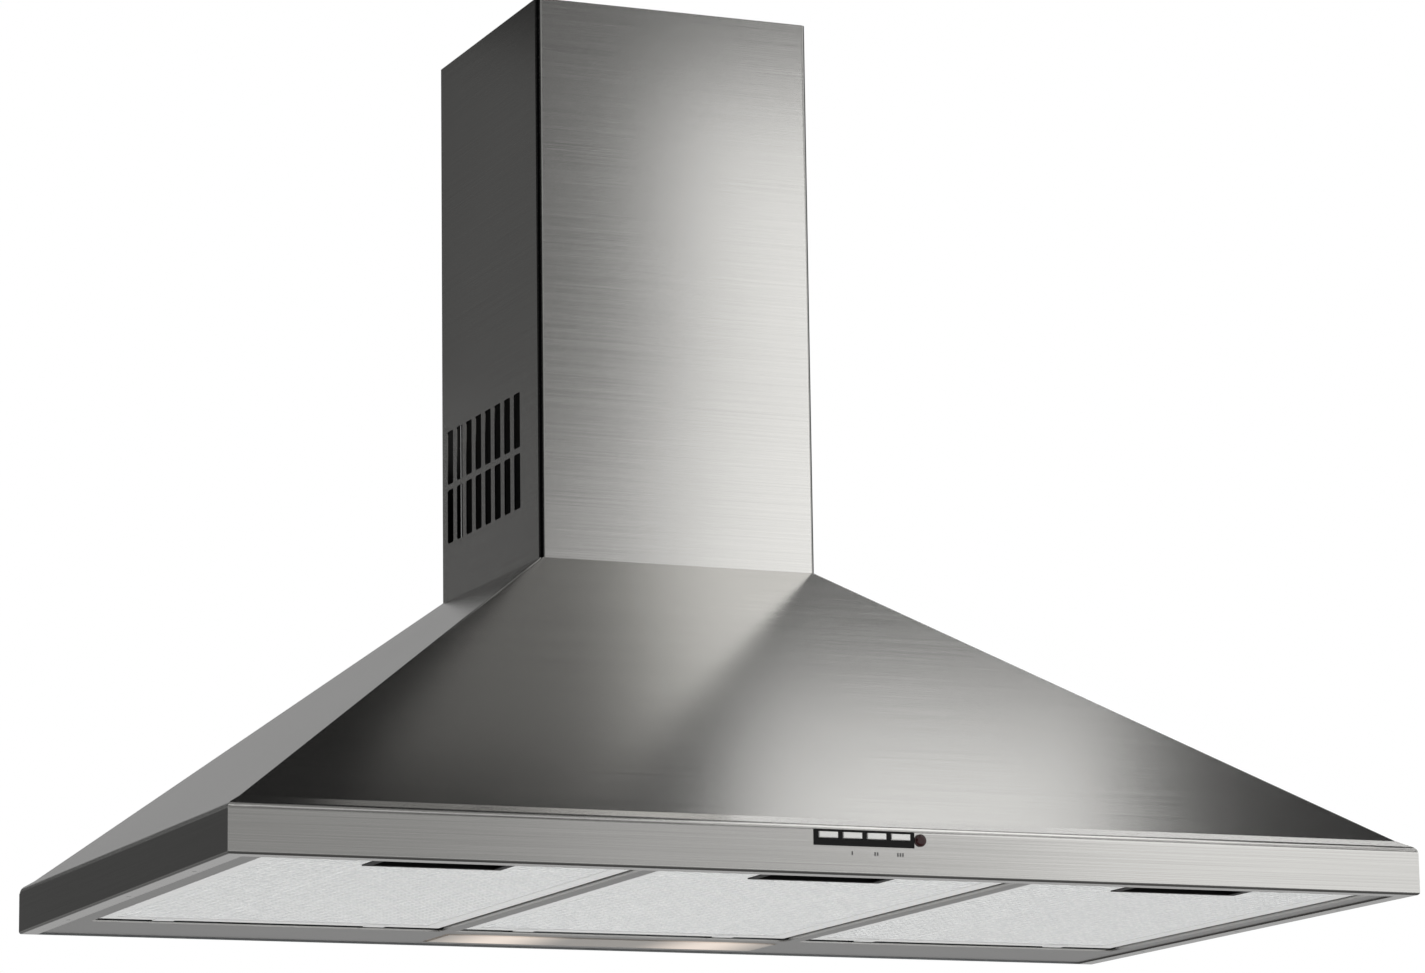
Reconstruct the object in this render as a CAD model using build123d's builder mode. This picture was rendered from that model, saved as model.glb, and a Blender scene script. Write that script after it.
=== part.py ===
from build123d import *
import math
import os

os.makedirs("parts", exist_ok=True)

# Wall mount range hood. Millimetres, +Z up, +X to the right as seen from the cook's side.
# The wall is the plane Y = 0, the front faces -Y, and the canopy's underside lies on Z = 0.

# Canopy
hood_width = 900.0
hood_depth = 520.0
sheet = 1.0
band_face = 33.5
shoulder_run = 11.5
shoulder_rise = 6.5
band_edge = 6.0
return_width = 14.0
return_bend = 2.0
canopy_height = 269.0
crease_foot = 1.0
crease_top = 3.0
roof_drop = 1.25
roof_lip = 15.0
back_sheet = 1.5

# Chimney
chimney_width = 224.0
chimney_depth = 215.0
chimney_height = 433.0
chimney_bend = 4.0
chimney_return = 15.0
slot_width = 13.0
slot_height = 42.5
slot_pitch = 21.2
slot_count = 8
slot_wall_gap = 11.5
slot_foot = 45.0
slot_row_gap = 4.5
extension_gap = 0.5
extension_height = 278.0
extension_drop = 4.0
extension_return = 12.0
extension_wall_gap = 0.8
strap_height = 30.0
strap_foot = 12.0
strap_thick = 1.5
strap_hole = 3.0
strap_spacing = 120.0
strap_margin = 4.0
plate_gap = 0.5
plate_overlap = 25.0

# Wall screws in the back panel
wall_hole = 4.0
wall_spacing_x = 160.0
wall_spacing_z = 150.0
wall_centre_z = 150.0

# Filter tray and filters
tray_sheet = 1.2
tray_gap = 6.0
tray_wall_over = 1.8
tray_screw_hole = 1.6
tray_screw_head = 3.5
tray_screw_height = 2.0
screw_gap = 0.1
filter_margin = 32.0
filter_spacing = 16.0
filter_height = 11.0
filter_front = 23.0
filter_gap = 2.0
filter_rise = 1.0
filter_wall = 1.0
filter_lip = 13.0
pad_gap = 0.2
pad_sheet = 0.8
tongue_width = 16.0
tongue_length = 10.0
tongue_clear = 3.0
tongue_thick = 1.6
tongue_offset = 82.0
tongue_rise = 0.4
pocket_width = 94.0
pocket_wall = 3.0
pocket_lip = 3.0
latch_thick = 1.6
latch_gap = 0.4
latch_depth = 14.0
latch_travel = 6.0
latch_play = 19.0
latch_window = 42.0
latch_window_depth = 8.0
latch_grip = 4.0
latch_grip_thick = 1.5
bolt_width = 16.0
bolt_reach = 1.4

# Lamp
lamp_width = 272.0
lamp_front = 74.0
lamp_back = 18.0
lamp_cover_gap = 1.5
lamp_cover_thick = 1.8
lamp_cover_rise = 0.4
lamp_cover_inset = 5.5
lamp_cover_wall = 5.0
lamp_tray_height = 42.0
lamp_tray_overlap = 5.0
lamp_hinge_inset = 7.0
lamp_hinge_rise = 3.0
lamp_pin = 1.4
lamp_pin_hole = 1.47
lamp_lug = 3.0
lamp_lug_width = 6.0
bulb_inset = 30.0
bulb_drop = 19.2
bulb_radius = 14.0
bulb_length = 46.0
cap_radius = 6.5
cap_length = 17.0
holder_radius = 10.0
holder_length = 26.0

# Controls
control_x = 8.8
control_drop = 7.8
bezel_side = 2.05
bezel_top = 0.4
bezel_strip = 3.8
bezel_rim = 0.9
bezel_proud = 0.6
bezel_depth = 4.2
bezel_fit = 0.1
button_width = 14.6
button_height = 4.4
button_spacing = 3.7
button_gap = 0.4
button_proud = 1.6
button_flange = 0.8
button_flange_thick = 1.4
button_travel = 2.5
stem_size = 4.0
stem_gap = 0.5
switch_depth = 20.0
switch_height = 13.0
switch_arm = 1.2
pilot_gap = 0.2
pilot_radius = 3.7
pilot_rim = 4.4
pilot_rim_thick = 0.9
pilot_length = 8.0
pilot_dome = 2.2

# Blower
blower_y = -190.0
blower_z = 160.0
blower_wall = 2.5
scroll_start = 70.0
scroll_clear = 8.0
scroll_large = 140.0
outlet_top = 262.0
scroll_flange = 4.0
inlet_step = 4.0
inlet_neck = 4.0
inlet_round = 2.0
impeller_radius = 72.0
impeller_half = 50.0
impeller_side = 7.5
impeller_ring = 2.5
blade_count = 36
blade_depth = 12.0
blade_thick = 1.4
blade_curve = 10.0
blade_lean = 28.0
disc_thick = 2.4
hub_radius = 12.0
hub_left = 14.0
hub_right = 9.0
shaft_radius = 4.0
shaft_gap = 0.05
shaft_left = 18.0
motor_radius = 38.0
motor_left = 14.0
motor_length = 78.0
motor_round = 4.0
motor_boss = 11.0
motor_boss_length = 4.0
motor_vents = 10
motor_vent_width = 7.0
motor_vent_length = 12.0
motor_vent_depth = 2.5
motor_vent_gap = 8.0
spider_ring = 4.0
spider_arm = 12.0
spider_thick = 2.5
spider_land = 12.0
spider_collar = 6.0
mount_radius = 7.0
mount_thick = 3.0
mount_screw = 1.9
mount_screw_head = 4.0
guard_land = 10.0
guard_seat = 2.0
guard_ring_1 = 44.0
guard_ring_2 = 24.0
guard_bar = 3.0
guard_thick = 2.0
hanger_half = 38.0
hanger_sheet = 1.5
hanger_low = 165.0
hanger_high = 225.0
hanger_foot = 16.0
hanger_screw_x = 24.0
small_screw = 1.9
small_screw_head = 3.8
small_screw_height = 2.4

# Outlet collar and damper
collar_radius = 59.5
collar_wall = 2.5
collar_height = 68.0
collar_plate = 3.0
collar_margin = 6.0
damper_rise = 43.0
damper_pin = 1.5
damper_pin_gap = 0.07
flap_thick = 1.5
flap_gap = 2.5
flap_split = 4.0
knuckle_radius = 3.2
knuckle_length = 18.0
knuckle_start = 6.0
knuckle_gap = 2.0
ledge_width = 4.0
ledge_thick = 1.4
ledge_gap = 0.35

# Wiring boxes
terminal_gap = 6.0
terminal_width = 90.0
terminal_low = 85.0
terminal_height = 55.0
terminal_depth = 38.0
terminal_wall = 2.0
gland_radius = 9.0
gland_bore = 4.5
gland_height = 20.0
gland_nut = 12.0
capacitor_x = -160.0
capacitor_z = 112.0
capacitor_radius = 16.0
capacitor_length = 58.0
clip_width = 14.0
clip_thick = 1.2
clip_foot = 14.0
clip_stand = 2.0

# Positions that follow from the sizes above
band_height = band_face + shoulder_rise
chimney_foot = canopy_height
chimney_top = chimney_foot + chimney_height
tray_top = sheet + tray_sheet
tray_wall = filter_height + filter_rise + tray_wall_over
rail_depth = lamp_front + lamp_tray_overlap + tongue_length + tongue_clear
filter_width = (hood_width - 2 * filter_margin - 2 * filter_spacing) / 3
filter_pitch = filter_width + filter_spacing
filter_depth = hood_depth - filter_front - rail_depth
filter_bottom = tray_top + filter_rise
filter_top = filter_bottom + filter_height
filter_y0 = -(hood_depth - filter_front)
filter_y1 = filter_y0 + filter_depth
opening_width = filter_width + 2 * filter_gap
opening_y0 = filter_y0 - filter_gap
opening_y1 = filter_y1 + filter_gap
front_y = -hood_depth
pocket_depth = latch_depth + latch_travel + latch_play
lamp_hinge_y = -(lamp_back + lamp_hinge_inset)
lamp_hinge_z = tray_top + lamp_hinge_rise
bulb_y = -(lamp_back + bulb_inset)
bulb_z = tray_top + lamp_tray_height - bulb_drop
button_pitch = button_width + button_spacing
bezel_width = 3 * button_pitch + button_width + 2 * button_gap + 2 * bezel_side
bezel_height = button_height + 2 * button_gap + bezel_top + bezel_strip
control_z = band_face - control_drop
button_z = control_z + (bezel_strip - bezel_top) / 2
pilot_x = control_x + bezel_width / 2 + bezel_rim + pilot_gap + pilot_rim
impeller_inner = impeller_radius - blade_depth
inlet_radius = impeller_inner - inlet_step
blower_half = impeller_half + impeller_side
scroll_small = impeller_radius + scroll_clear
spider_reach = inlet_radius + spider_land
guard_outer = inlet_radius + guard_land
collar_top = outlet_top + collar_height
damper_z = outlet_top + damper_rise
terminal_left = blower_half + blower_wall + terminal_gap
collar_y = blower_y + (scroll_large + scroll_small * math.cos(math.radians(scroll_start))) / 2


def block(x0, x1, y0, y1, z0, z1, mode=Mode.ADD):
    """Adds a box given by its limits to the part being built."""
    with Locations(((x0 + x1) / 2, (y0 + y1) / 2, (z0 + z1) / 2)):
        Box(x1 - x0, y1 - y0, z1 - z0, mode=mode)


def rod_x(x0, x1, y, z, radius, mode=Mode.ADD):
    """Adds a round bar along X to the part being built."""
    with Locations(((x0 + x1) / 2, y, z)):
        Cylinder(radius, x1 - x0, rotation=(0, 90, 0), mode=mode)


def rod_y(y0, y1, x, z, radius, mode=Mode.ADD):
    """Adds a round bar along Y to the part being built."""
    with Locations((x, (y0 + y1) / 2, z)):
        Cylinder(radius, y1 - y0, rotation=(90, 0, 0), mode=mode)


def rod_z(z0, z1, x, y, radius, mode=Mode.ADD):
    """Adds a round bar along Z to the part being built."""
    with Locations((x, y, (z0 + z1) / 2)):
        Cylinder(radius, z1 - z0, mode=mode)


def plan(half, front, back, corner, z):
    """A level rectangle from front to back, its two front corners rounded where a radius is given."""
    with BuildSketch(Plane.XY.offset(z)) as outline:
        with Locations((0, (front + back) / 2)):
            Rectangle(2 * half, back - front)
        if corner > 0:
            fillet(outline.vertices().group_by(Axis.Y)[0], corner)
    return outline.sketch.faces()[0]


def hip(half0, half1, front0, front1, back, corner0, corner1, z0, z1):
    """A straight-sided solid between two level rectangles."""
    lower = plan(half0, front0, back, corner0, z0)
    upper = plan(half1, front1, back, corner1, z1)
    return Solid.make_loft([lower.outer_wire(), upper.outer_wire()], True)


# Canopy shell: a soft-edged band with mitred corners and a sloping shoulder, then a hip up to the chimney
half_w = hood_width / 2
half_c = chimney_width / 2
shoulder_half = half_w - shoulder_run
shoulder_front = front_y + shoulder_run
hollow_half = half_w - sheet
hollow_face = band_face + shoulder_rise * sheet / shoulder_run - 1.15 * sheet
past_back = 2.0

with BuildPart() as canopy_hollow:
    add(extrude(plan(hollow_half, front_y + sheet, past_back, 0, sheet), hollow_face - sheet))
    fillet(canopy_hollow.faces().sort_by(Axis.Z)[0].edges().sort_by(Axis.Y)[:-1], return_bend - sheet)
    add(
        hip(
            hollow_half, shoulder_half, front_y + sheet, shoulder_front, past_back,
            0, 0, hollow_face, band_height - roof_drop,
        )
    )
    hollow_edges = canopy_hollow.edges().filter_by_position(Axis.Z, hollow_face - 0.01, hollow_face + 0.01)
    fillet(hollow_edges.filter_by(lambda edge: edge.center().Y < -1), band_edge - sheet)
    add(
        hip(
            shoulder_half, half_c, shoulder_front, -chimney_depth, past_back,
            crease_foot, crease_top, band_height - roof_drop, canopy_height - roof_drop,
        )
    )

with BuildPart() as canopy_shell:
    add(extrude(plan(half_w, front_y, 0, 0, 0), band_face))
    fillet(canopy_shell.faces().sort_by(Axis.Z)[0].edges().sort_by(Axis.Y)[:-1], return_bend)
    add(
        hip(
            half_w, shoulder_half, front_y, shoulder_front, 0,
            0, 0, band_face, band_height,
        )
    )
    shoulder_edges = canopy_shell.edges().filter_by_position(Axis.Z, band_face - 0.01, band_face + 0.01)
    fillet(shoulder_edges.filter_by(lambda edge: edge.center().Y < -1), band_edge)
    add(
        hip(
            shoulder_half, half_c, shoulder_front, -chimney_depth, 0,
            crease_foot, crease_top, band_height, canopy_height,
        )
    )
    add(canopy_hollow.part, mode=Mode.SUBTRACT)
    block(-half_w - 1, half_w + 1, -back_sheet, 1, -1, canopy_height + 1, Mode.SUBTRACT)
    block(
        -half_w + return_width, half_w - return_width, front_y + return_width, 1, -1, sheet + 1, Mode.SUBTRACT
    )
    block(
        -half_c + roof_lip, half_c - roof_lip, -chimney_depth + roof_lip, 1,
        canopy_height - 5, canopy_height + 1, Mode.SUBTRACT,
    )
    # Slot for the buttons and hole for the pilot lens
    block(
        control_x - bezel_width / 2 - bezel_fit, control_x + bezel_width / 2 + bezel_fit, front_y - 1, front_y + 3,
        control_z - bezel_height / 2 - bezel_fit, control_z + bezel_height / 2 + bezel_fit, Mode.SUBTRACT,
    )
    rod_y(front_y - 1, front_y + 3, pilot_x, control_z, pilot_radius + bezel_fit, Mode.SUBTRACT)
    # Holes for the tray's screws
    tray_edge = half_w - return_width / 2 - 2
    tray_side_ys = [-0.2 * hood_depth, -0.5 * hood_depth, -0.8 * hood_depth]
    for side in (-1, 1):
        for y in tray_side_ys:
            rod_z(-1, sheet + 1, side * tray_edge, y, tray_screw_hole, Mode.SUBTRACT)
canopy_shell.part.label = "canopy_shell"

# Back panel that closes the canopy against the wall and follows the band's rounded edges
shoulder_angle = math.atan2(shoulder_rise, shoulder_run)
edge_run = band_edge * math.tan((math.pi / 2 - shoulder_angle) / 2)
edge_x = half_w - edge_run * math.cos(shoulder_angle)
edge_z = band_face + edge_run * math.sin(shoulder_angle)
with BuildPart() as back_panel:
    with BuildSketch(Plane.XZ) as back_outline:
        with BuildLine():
            Polyline(
                (-half_w, 0), (half_w, 0), (half_w, band_face - edge_run), (edge_x, edge_z),
                (shoulder_half, band_height), (half_c, canopy_height), (-half_c, canopy_height),
                (-shoulder_half, band_height), (-edge_x, edge_z), (-half_w, band_face - edge_run), close=True,
            )
        make_face()
    extrude(amount=back_sheet)
    fillet(back_panel.edges().filter_by(Axis.Y).group_by(Axis.Z)[0], return_bend)
    for sx in (-1, 1):
        for sz in (-1, 1):
            rod_y(
                -back_sheet - 1, 1, sx * wall_spacing_x / 2, wall_centre_z + sz * wall_spacing_z / 2,
                wall_hole, Mode.SUBTRACT,
            )
    for sx in (-1, 1):
        for z in (hanger_low - hanger_foot / 2, hanger_high + hanger_foot / 2):
            rod_y(-back_sheet - 1, 1, sx * hanger_screw_x, z, small_screw + screw_gap, Mode.SUBTRACT)
back_panel.part.label = "back_panel"

# Chimney cover, a bent sheet with turned-in rear edges and vent slots in both sides
row_low = chimney_foot + slot_foot + slot_height / 2
row_high = row_low + slot_height + slot_row_gap
slot_mid = -(slot_wall_gap + slot_width / 2 + (slot_count - 1) * slot_pitch / 2)
with BuildPart() as chimney_cover:
    with BuildSketch(Plane.XY.offset(chimney_foot)) as chimney_plan:
        with Locations((0, -chimney_depth / 2)):
            Rectangle(chimney_width, chimney_depth)
        fillet(chimney_plan.vertices().group_by(Axis.Y)[0], chimney_bend)
    extrude(amount=chimney_height)
    with BuildSketch(Plane.XY.offset(chimney_foot)) as chimney_inner:
        with Locations((0, -chimney_depth / 2)):
            Rectangle(chimney_width - 2 * sheet, chimney_depth - 2 * sheet)
        fillet(chimney_inner.vertices().group_by(Axis.Y)[0], chimney_bend - sheet)
    extrude(amount=chimney_height, mode=Mode.SUBTRACT)
    block(
        -half_c + chimney_return, half_c - chimney_return, -sheet - 1, 1,
        chimney_foot - 1, chimney_top + 1, Mode.SUBTRACT,
    )
    with BuildSketch(Plane.YZ.offset(-half_c - 1)):
        with Locations((slot_mid, (row_low + row_high) / 2)):
            with GridLocations(slot_pitch, row_high - row_low, slot_count, 2):
                RectangleRounded(slot_width, slot_height, 1.5)
    extrude(amount=chimney_width + 2, mode=Mode.SUBTRACT)
chimney_cover.part.label = "chimney_cover"

# Chimney extension, pushed down inside the cover
ext_half = half_c - sheet - extension_gap
ext_front = -(chimney_depth - sheet - extension_gap)
ext_back = -(sheet + extension_wall_gap)
ext_top = chimney_top - extension_drop
ext_foot = ext_top - extension_height
with BuildPart() as chimney_extension:
    with BuildSketch(Plane.XY.offset(ext_foot)) as ext_plan:
        with Locations((0, (ext_front + ext_back) / 2)):
            Rectangle(2 * ext_half, ext_back - ext_front)
        fillet(ext_plan.vertices().group_by(Axis.Y)[0], chimney_bend - sheet - extension_gap)
    extrude(amount=extension_height)
    with BuildSketch(Plane.XY.offset(ext_foot)) as ext_inner:
        with Locations((0, (ext_front + ext_back) / 2)):
            Rectangle(2 * (ext_half - sheet), ext_back - ext_front - 2 * sheet)
        fillet(ext_inner.vertices().group_by(Axis.Y)[0], chimney_bend - 2 * sheet - extension_gap)
    extrude(amount=extension_height, mode=Mode.SUBTRACT)
    block(
        -ext_half + extension_return, ext_half - extension_return, ext_back - sheet - 1, 1,
        ext_foot - 1, ext_top + 1, Mode.SUBTRACT,
    )
chimney_extension.part.label = "chimney_extension"

# Bracket that screws the extension's top to the wall
with BuildPart() as extension_bracket:
    block(
        -ext_half + sheet + strap_margin, ext_half - sheet - strap_margin,
        ext_back - sheet - strap_thick, ext_back - sheet,
        ext_top - strap_foot - strap_height, ext_top - strap_foot,
    )
    block(
        -ext_half + extension_return + strap_margin, ext_half - extension_return - strap_margin,
        ext_back - sheet - strap_thick, 0,
        ext_top - strap_foot - strap_height, ext_top - strap_foot - strap_height + strap_thick,
    )
    for sx in (-1, 1):
        rod_y(
            ext_back - sheet - strap_thick - 1, 1, sx * strap_spacing / 2,
            ext_top - strap_foot - strap_height / 2, strap_hole, Mode.SUBTRACT,
        )
extension_bracket.part.label = "extension_bracket"

# Wall plate: its ears clamp the cover's rear edges, and its tall middle closes the back behind the slots
plate_z0 = chimney_foot + strap_foot
plate_half = half_c - chimney_return - plate_gap
plate_top = ext_foot + plate_overlap
with BuildPart() as chimney_plate:
    block(
        -half_c + sheet + strap_margin, half_c - sheet - strap_margin, -sheet - strap_thick, -sheet,
        plate_z0, plate_z0 + strap_height,
    )
    block(-plate_half, plate_half, -strap_thick, 0, plate_z0, plate_top)
    block(
        -plate_half + strap_margin, plate_half - strap_margin, -sheet - strap_thick - 1, -strap_thick,
        plate_z0 - 1, plate_z0 + strap_height + 1, Mode.SUBTRACT,
    )
    for sx in (-1, 1):
        rod_y(-5, 1, sx * strap_spacing / 2, plate_z0 + strap_height / 2, strap_hole, Mode.SUBTRACT)
chimney_plate.part.label = "chimney_plate"

# Filter tray: the flat underside, open at the front edge of its three openings, with the lamp rail at the back
tray_half = half_w - tray_gap
tray_front = front_y + tray_gap
lamp_half = lamp_width / 2
with BuildPart() as filter_tray:
    block(-tray_half, tray_half, opening_y0, -back_sheet, sheet, tray_top)
    for cx in (-filter_pitch, 0, filter_pitch):
        x0 = cx - opening_width / 2
        x1 = cx + opening_width / 2
        block(x0 - tray_sheet, x1 + tray_sheet, opening_y0, opening_y1 - 8, sheet, tray_top + tray_wall)
    for cx in (-filter_pitch, 0, filter_pitch):
        x0 = cx - opening_width / 2
        x1 = cx + opening_width / 2
        block(x0, x1, opening_y0 - 1, opening_y1, -1, tray_top + tray_wall + 1, Mode.SUBTRACT)
    block(-lamp_half - 1, lamp_half + 1, -lamp_front, -lamp_back, -1, tray_top + 1, Mode.SUBTRACT)
    for side in (-1, 1):
        for y in tray_side_ys:
            rod_z(-1, tray_top + 1, side * tray_edge, y, tray_screw_hole, Mode.SUBTRACT)
filter_tray.part.label = "filter_tray"

# Front rail: an angle welded across the tray's front ends, which closes the openings before the latches
with BuildPart() as tray_front_rail:
    block(-tray_half, tray_half, tray_front, opening_y0, sheet, tray_top)
    block(-tray_half, tray_half, opening_y0 - tray_sheet, opening_y0, sheet, tray_top + tray_wall)
tray_front_rail.part.label = "tray_front_rail"

# Screws that hold the tray on the canopy's return
with BuildPart() as tray_screws:
    for side in (-1, 1):
        for y in tray_side_ys:
            rod_z(tray_top, tray_top + tray_screw_height, side * tray_edge, y, tray_screw_head)
            rod_z(0.1, tray_top + 0.1, side * tray_edge, y, tray_screw_hole - screw_gap)
tray_screws.part.label = "tray_screws"

# Grease filter cassette: a folded channel frame, a mesh pad and a sprung latch in a moulded cup
pocket_y0 = filter_y0 + pocket_wall
pocket_y1 = pocket_y0 + pocket_depth
pocket_half = pocket_width / 2
housing_half = pocket_half + pocket_wall
housing_y1 = pocket_y1 + pocket_wall
half_f = filter_width / 2
with BuildPart() as filter_frame_centre:
    block(-half_f, half_f, filter_y0, filter_y1, filter_bottom, filter_top)
    block(
        -half_f + filter_wall, half_f - filter_wall, filter_y0 + filter_wall, filter_y1 - filter_wall,
        filter_bottom + filter_wall, filter_top - filter_wall, Mode.SUBTRACT,
    )
    block(
        -half_f + filter_lip, half_f - filter_lip, filter_y0 + filter_lip, filter_y1 - filter_lip,
        filter_bottom - 1, filter_top + 1, Mode.SUBTRACT,
    )
    block(
        -housing_half, housing_half, filter_y0 + filter_wall, housing_y1, filter_bottom - 1, filter_top + 1,
        Mode.SUBTRACT,
    )
    block(
        -bolt_width / 2 - latch_gap, bolt_width / 2 + latch_gap, filter_y0 - 1, filter_y0 + filter_wall + 1,
        filter_bottom + filter_wall, filter_bottom + filter_wall + latch_thick + 2 * latch_gap, Mode.SUBTRACT,
    )
    for sx in (-1, 1):
        block(
            sx * tongue_offset - tongue_width / 2, sx * tongue_offset + tongue_width / 2,
            filter_y1 - filter_lip, filter_y1 + tongue_length,
            tray_top + tongue_rise, tray_top + tongue_rise + tongue_thick,
        )
filter_frame_centre.part.label = "filter_frame_centre"

with BuildPart() as filter_frame_left:
    with Locations((-filter_pitch, 0, 0)):
        add(filter_frame_centre.part)
filter_frame_left.part.label = "filter_frame_left"

with BuildPart() as filter_frame_right:
    with Locations((filter_pitch, 0, 0)):
        add(filter_frame_centre.part)
filter_frame_right.part.label = "filter_frame_right"

# Latch cup: the finger recess, set into the frame's front edge, with a slot for the bolt
with BuildPart() as latch_cup_centre:
    block(-housing_half, housing_half, filter_y0 + filter_wall, housing_y1, filter_bottom, filter_top)
    block(
        -pocket_half, pocket_half, pocket_y0, pocket_y1,
        filter_bottom + filter_wall, filter_top - filter_wall, Mode.SUBTRACT,
    )
    block(
        -pocket_half + pocket_lip, pocket_half - pocket_lip, pocket_y0 + 1, pocket_y1 - 1,
        filter_bottom - 1, filter_bottom + 2, Mode.SUBTRACT,
    )
    block(
        -bolt_width / 2 - latch_gap, bolt_width / 2 + latch_gap, filter_y0, pocket_y0 + 1,
        filter_bottom + filter_wall, filter_bottom + filter_wall + latch_thick + 2 * latch_gap, Mode.SUBTRACT,
    )
latch_cup_centre.part.label = "latch_cup_centre"

with BuildPart() as latch_cup_left:
    with Locations((-filter_pitch, 0, 0)):
        add(latch_cup_centre.part)
latch_cup_left.part.label = "latch_cup_left"

with BuildPart() as latch_cup_right:
    with Locations((filter_pitch, 0, 0)):
        add(latch_cup_centre.part)
latch_cup_right.part.label = "latch_cup_right"

# Mesh pad: a lower and an upper sheet of expanded mesh, each against a lip of the frame
pad_inset = filter_wall + pad_gap
with BuildPart() as filter_mesh_centre:
    for z in (filter_bottom + filter_wall, filter_top - filter_wall - pad_sheet):
        block(
            -half_f + pad_inset, half_f - pad_inset, filter_y0 + pad_inset, filter_y1 - pad_inset,
            z, z + pad_sheet,
        )
    block(
        -housing_half - pad_gap, housing_half + pad_gap, filter_y0, housing_y1 + pad_gap,
        filter_bottom, filter_top, Mode.SUBTRACT,
    )
    for sx in (-1, 1):
        block(
            sx * tongue_offset - tongue_width / 2 - pad_gap, sx * tongue_offset + tongue_width / 2 + pad_gap,
            filter_y1 - filter_lip - pad_gap, filter_y1,
            filter_bottom, tray_top + tongue_rise + tongue_thick + pad_gap, Mode.SUBTRACT,
        )
filter_mesh_centre.part.label = "filter_mesh_centre"

with BuildPart() as filter_mesh_left:
    with Locations((-filter_pitch, 0, 0)):
        add(filter_mesh_centre.part)
filter_mesh_left.part.label = "filter_mesh_left"

with BuildPart() as filter_mesh_right:
    with Locations((filter_pitch, 0, 0)):
        add(filter_mesh_centre.part)
filter_mesh_right.part.label = "filter_mesh_right"

latch_z0 = filter_bottom + filter_wall + latch_gap
latch_y0 = pocket_y0 + latch_gap
latch_y1 = latch_y0 + latch_depth
latch_half = pocket_half - latch_gap
window_y0 = latch_y0 + 2
with BuildPart() as filter_latch_centre:
    block(-latch_half, latch_half, latch_y0, latch_y1, latch_z0, latch_z0 + latch_thick)
    block(
        -latch_window / 2, latch_window / 2, window_y0, window_y0 + latch_window_depth,
        latch_z0 - 1, latch_z0 + latch_thick + 1, Mode.SUBTRACT,
    )
    block(
        -latch_window / 2, latch_window / 2, window_y0 + latch_window_depth,
        window_y0 + latch_window_depth + latch_grip_thick, latch_z0, latch_z0 + latch_thick + latch_grip,
    )
    block(
        -bolt_width / 2, bolt_width / 2, filter_y0 - bolt_reach, latch_y0 + 1,
        latch_z0, latch_z0 + latch_thick,
    )
filter_latch_centre.part.label = "filter_latch_centre"

with BuildPart() as filter_latch_left:
    with Locations((-filter_pitch, 0, 0)):
        add(filter_latch_centre.part)
filter_latch_left.part.label = "filter_latch_left"

with BuildPart() as filter_latch_right:
    with Locations((filter_pitch, 0, 0)):
        add(filter_latch_centre.part)
filter_latch_right.part.label = "filter_latch_right"

# Lamp: a reflector tray on the rail, a hinged diffuser, two bulbs with screw caps in holders
lamp_tray_half = lamp_half + lamp_tray_overlap
lamp_tray_y0 = -lamp_front - lamp_tray_overlap
lamp_tray_y1 = -lamp_back + lamp_tray_overlap
lamp_tray_top = tray_top + lamp_tray_height
with BuildPart() as lamp_tray:
    block(-lamp_tray_half, lamp_tray_half, lamp_tray_y0, lamp_tray_y1, tray_top, lamp_tray_top)
    block(
        -lamp_tray_half + sheet, lamp_tray_half - sheet, lamp_tray_y0 + sheet, lamp_tray_y1 - sheet,
        tray_top - 1, lamp_tray_top - sheet, Mode.SUBTRACT,
    )
    rod_x(-lamp_tray_half - 1, lamp_tray_half + 1, lamp_hinge_y, lamp_hinge_z, lamp_pin_hole, Mode.SUBTRACT)
lamp_tray.part.label = "lamp_tray"

cover_half = lamp_half - lamp_cover_gap
with BuildPart() as lamp_cover:
    block(
        -cover_half, cover_half, -lamp_front + lamp_cover_gap, -lamp_back - lamp_cover_inset,
        lamp_cover_rise, lamp_cover_rise + lamp_cover_thick,
    )
    block(
        -cover_half, cover_half, -lamp_front + lamp_cover_gap, -lamp_front + lamp_cover_gap + lamp_cover_thick,
        lamp_cover_rise, lamp_cover_rise + lamp_cover_wall,
    )
    for sx in (-1, 1):
        x0 = min(sx * cover_half, sx * (cover_half - lamp_lug_width))
        x1 = max(sx * cover_half, sx * (cover_half - lamp_lug_width))
        block(
            x0, x1, lamp_hinge_y - lamp_lug, lamp_hinge_y + lamp_lug / 2,
            lamp_cover_rise, lamp_hinge_z,
        )
        rod_x(x0, x1, lamp_hinge_y, lamp_hinge_z, lamp_lug)
        p0 = min(sx * (cover_half - 1), sx * (lamp_tray_half - 0.2))
        p1 = max(sx * (cover_half - 1), sx * (lamp_tray_half - 0.2))
        rod_x(p0, p1, lamp_hinge_y, lamp_hinge_z, lamp_pin)
lamp_cover.part.label = "lamp_cover"

holder_x0 = lamp_tray_half - sheet
cap_x0 = holder_x0 - holder_length
glass_x0 = cap_x0 - cap_length + 12
with BuildPart() as lamp_holder_right:
    rod_x(cap_x0, holder_x0, bulb_y, bulb_z, holder_radius)
    rod_x(cap_x0 - 1, cap_x0 + cap_length - 5, bulb_y, bulb_z, cap_radius, Mode.SUBTRACT)
    block(
        holder_x0 - 3, holder_x0, bulb_y - holder_radius - 4, bulb_y + holder_radius + 4,
        bulb_z - 6, bulb_z + 6,
    )
lamp_holder_right.part.label = "lamp_holder_right"

with BuildPart() as lamp_holder_left:
    add(mirror(lamp_holder_right.part, about=Plane.YZ))
lamp_holder_left.part.label = "lamp_holder_left"

with BuildPart() as bulb_cap_right:
    rod_x(cap_x0 - 5, cap_x0 + cap_length - 5, bulb_y, bulb_z, cap_radius)
bulb_cap_right.part.label = "bulb_cap_right"

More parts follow.
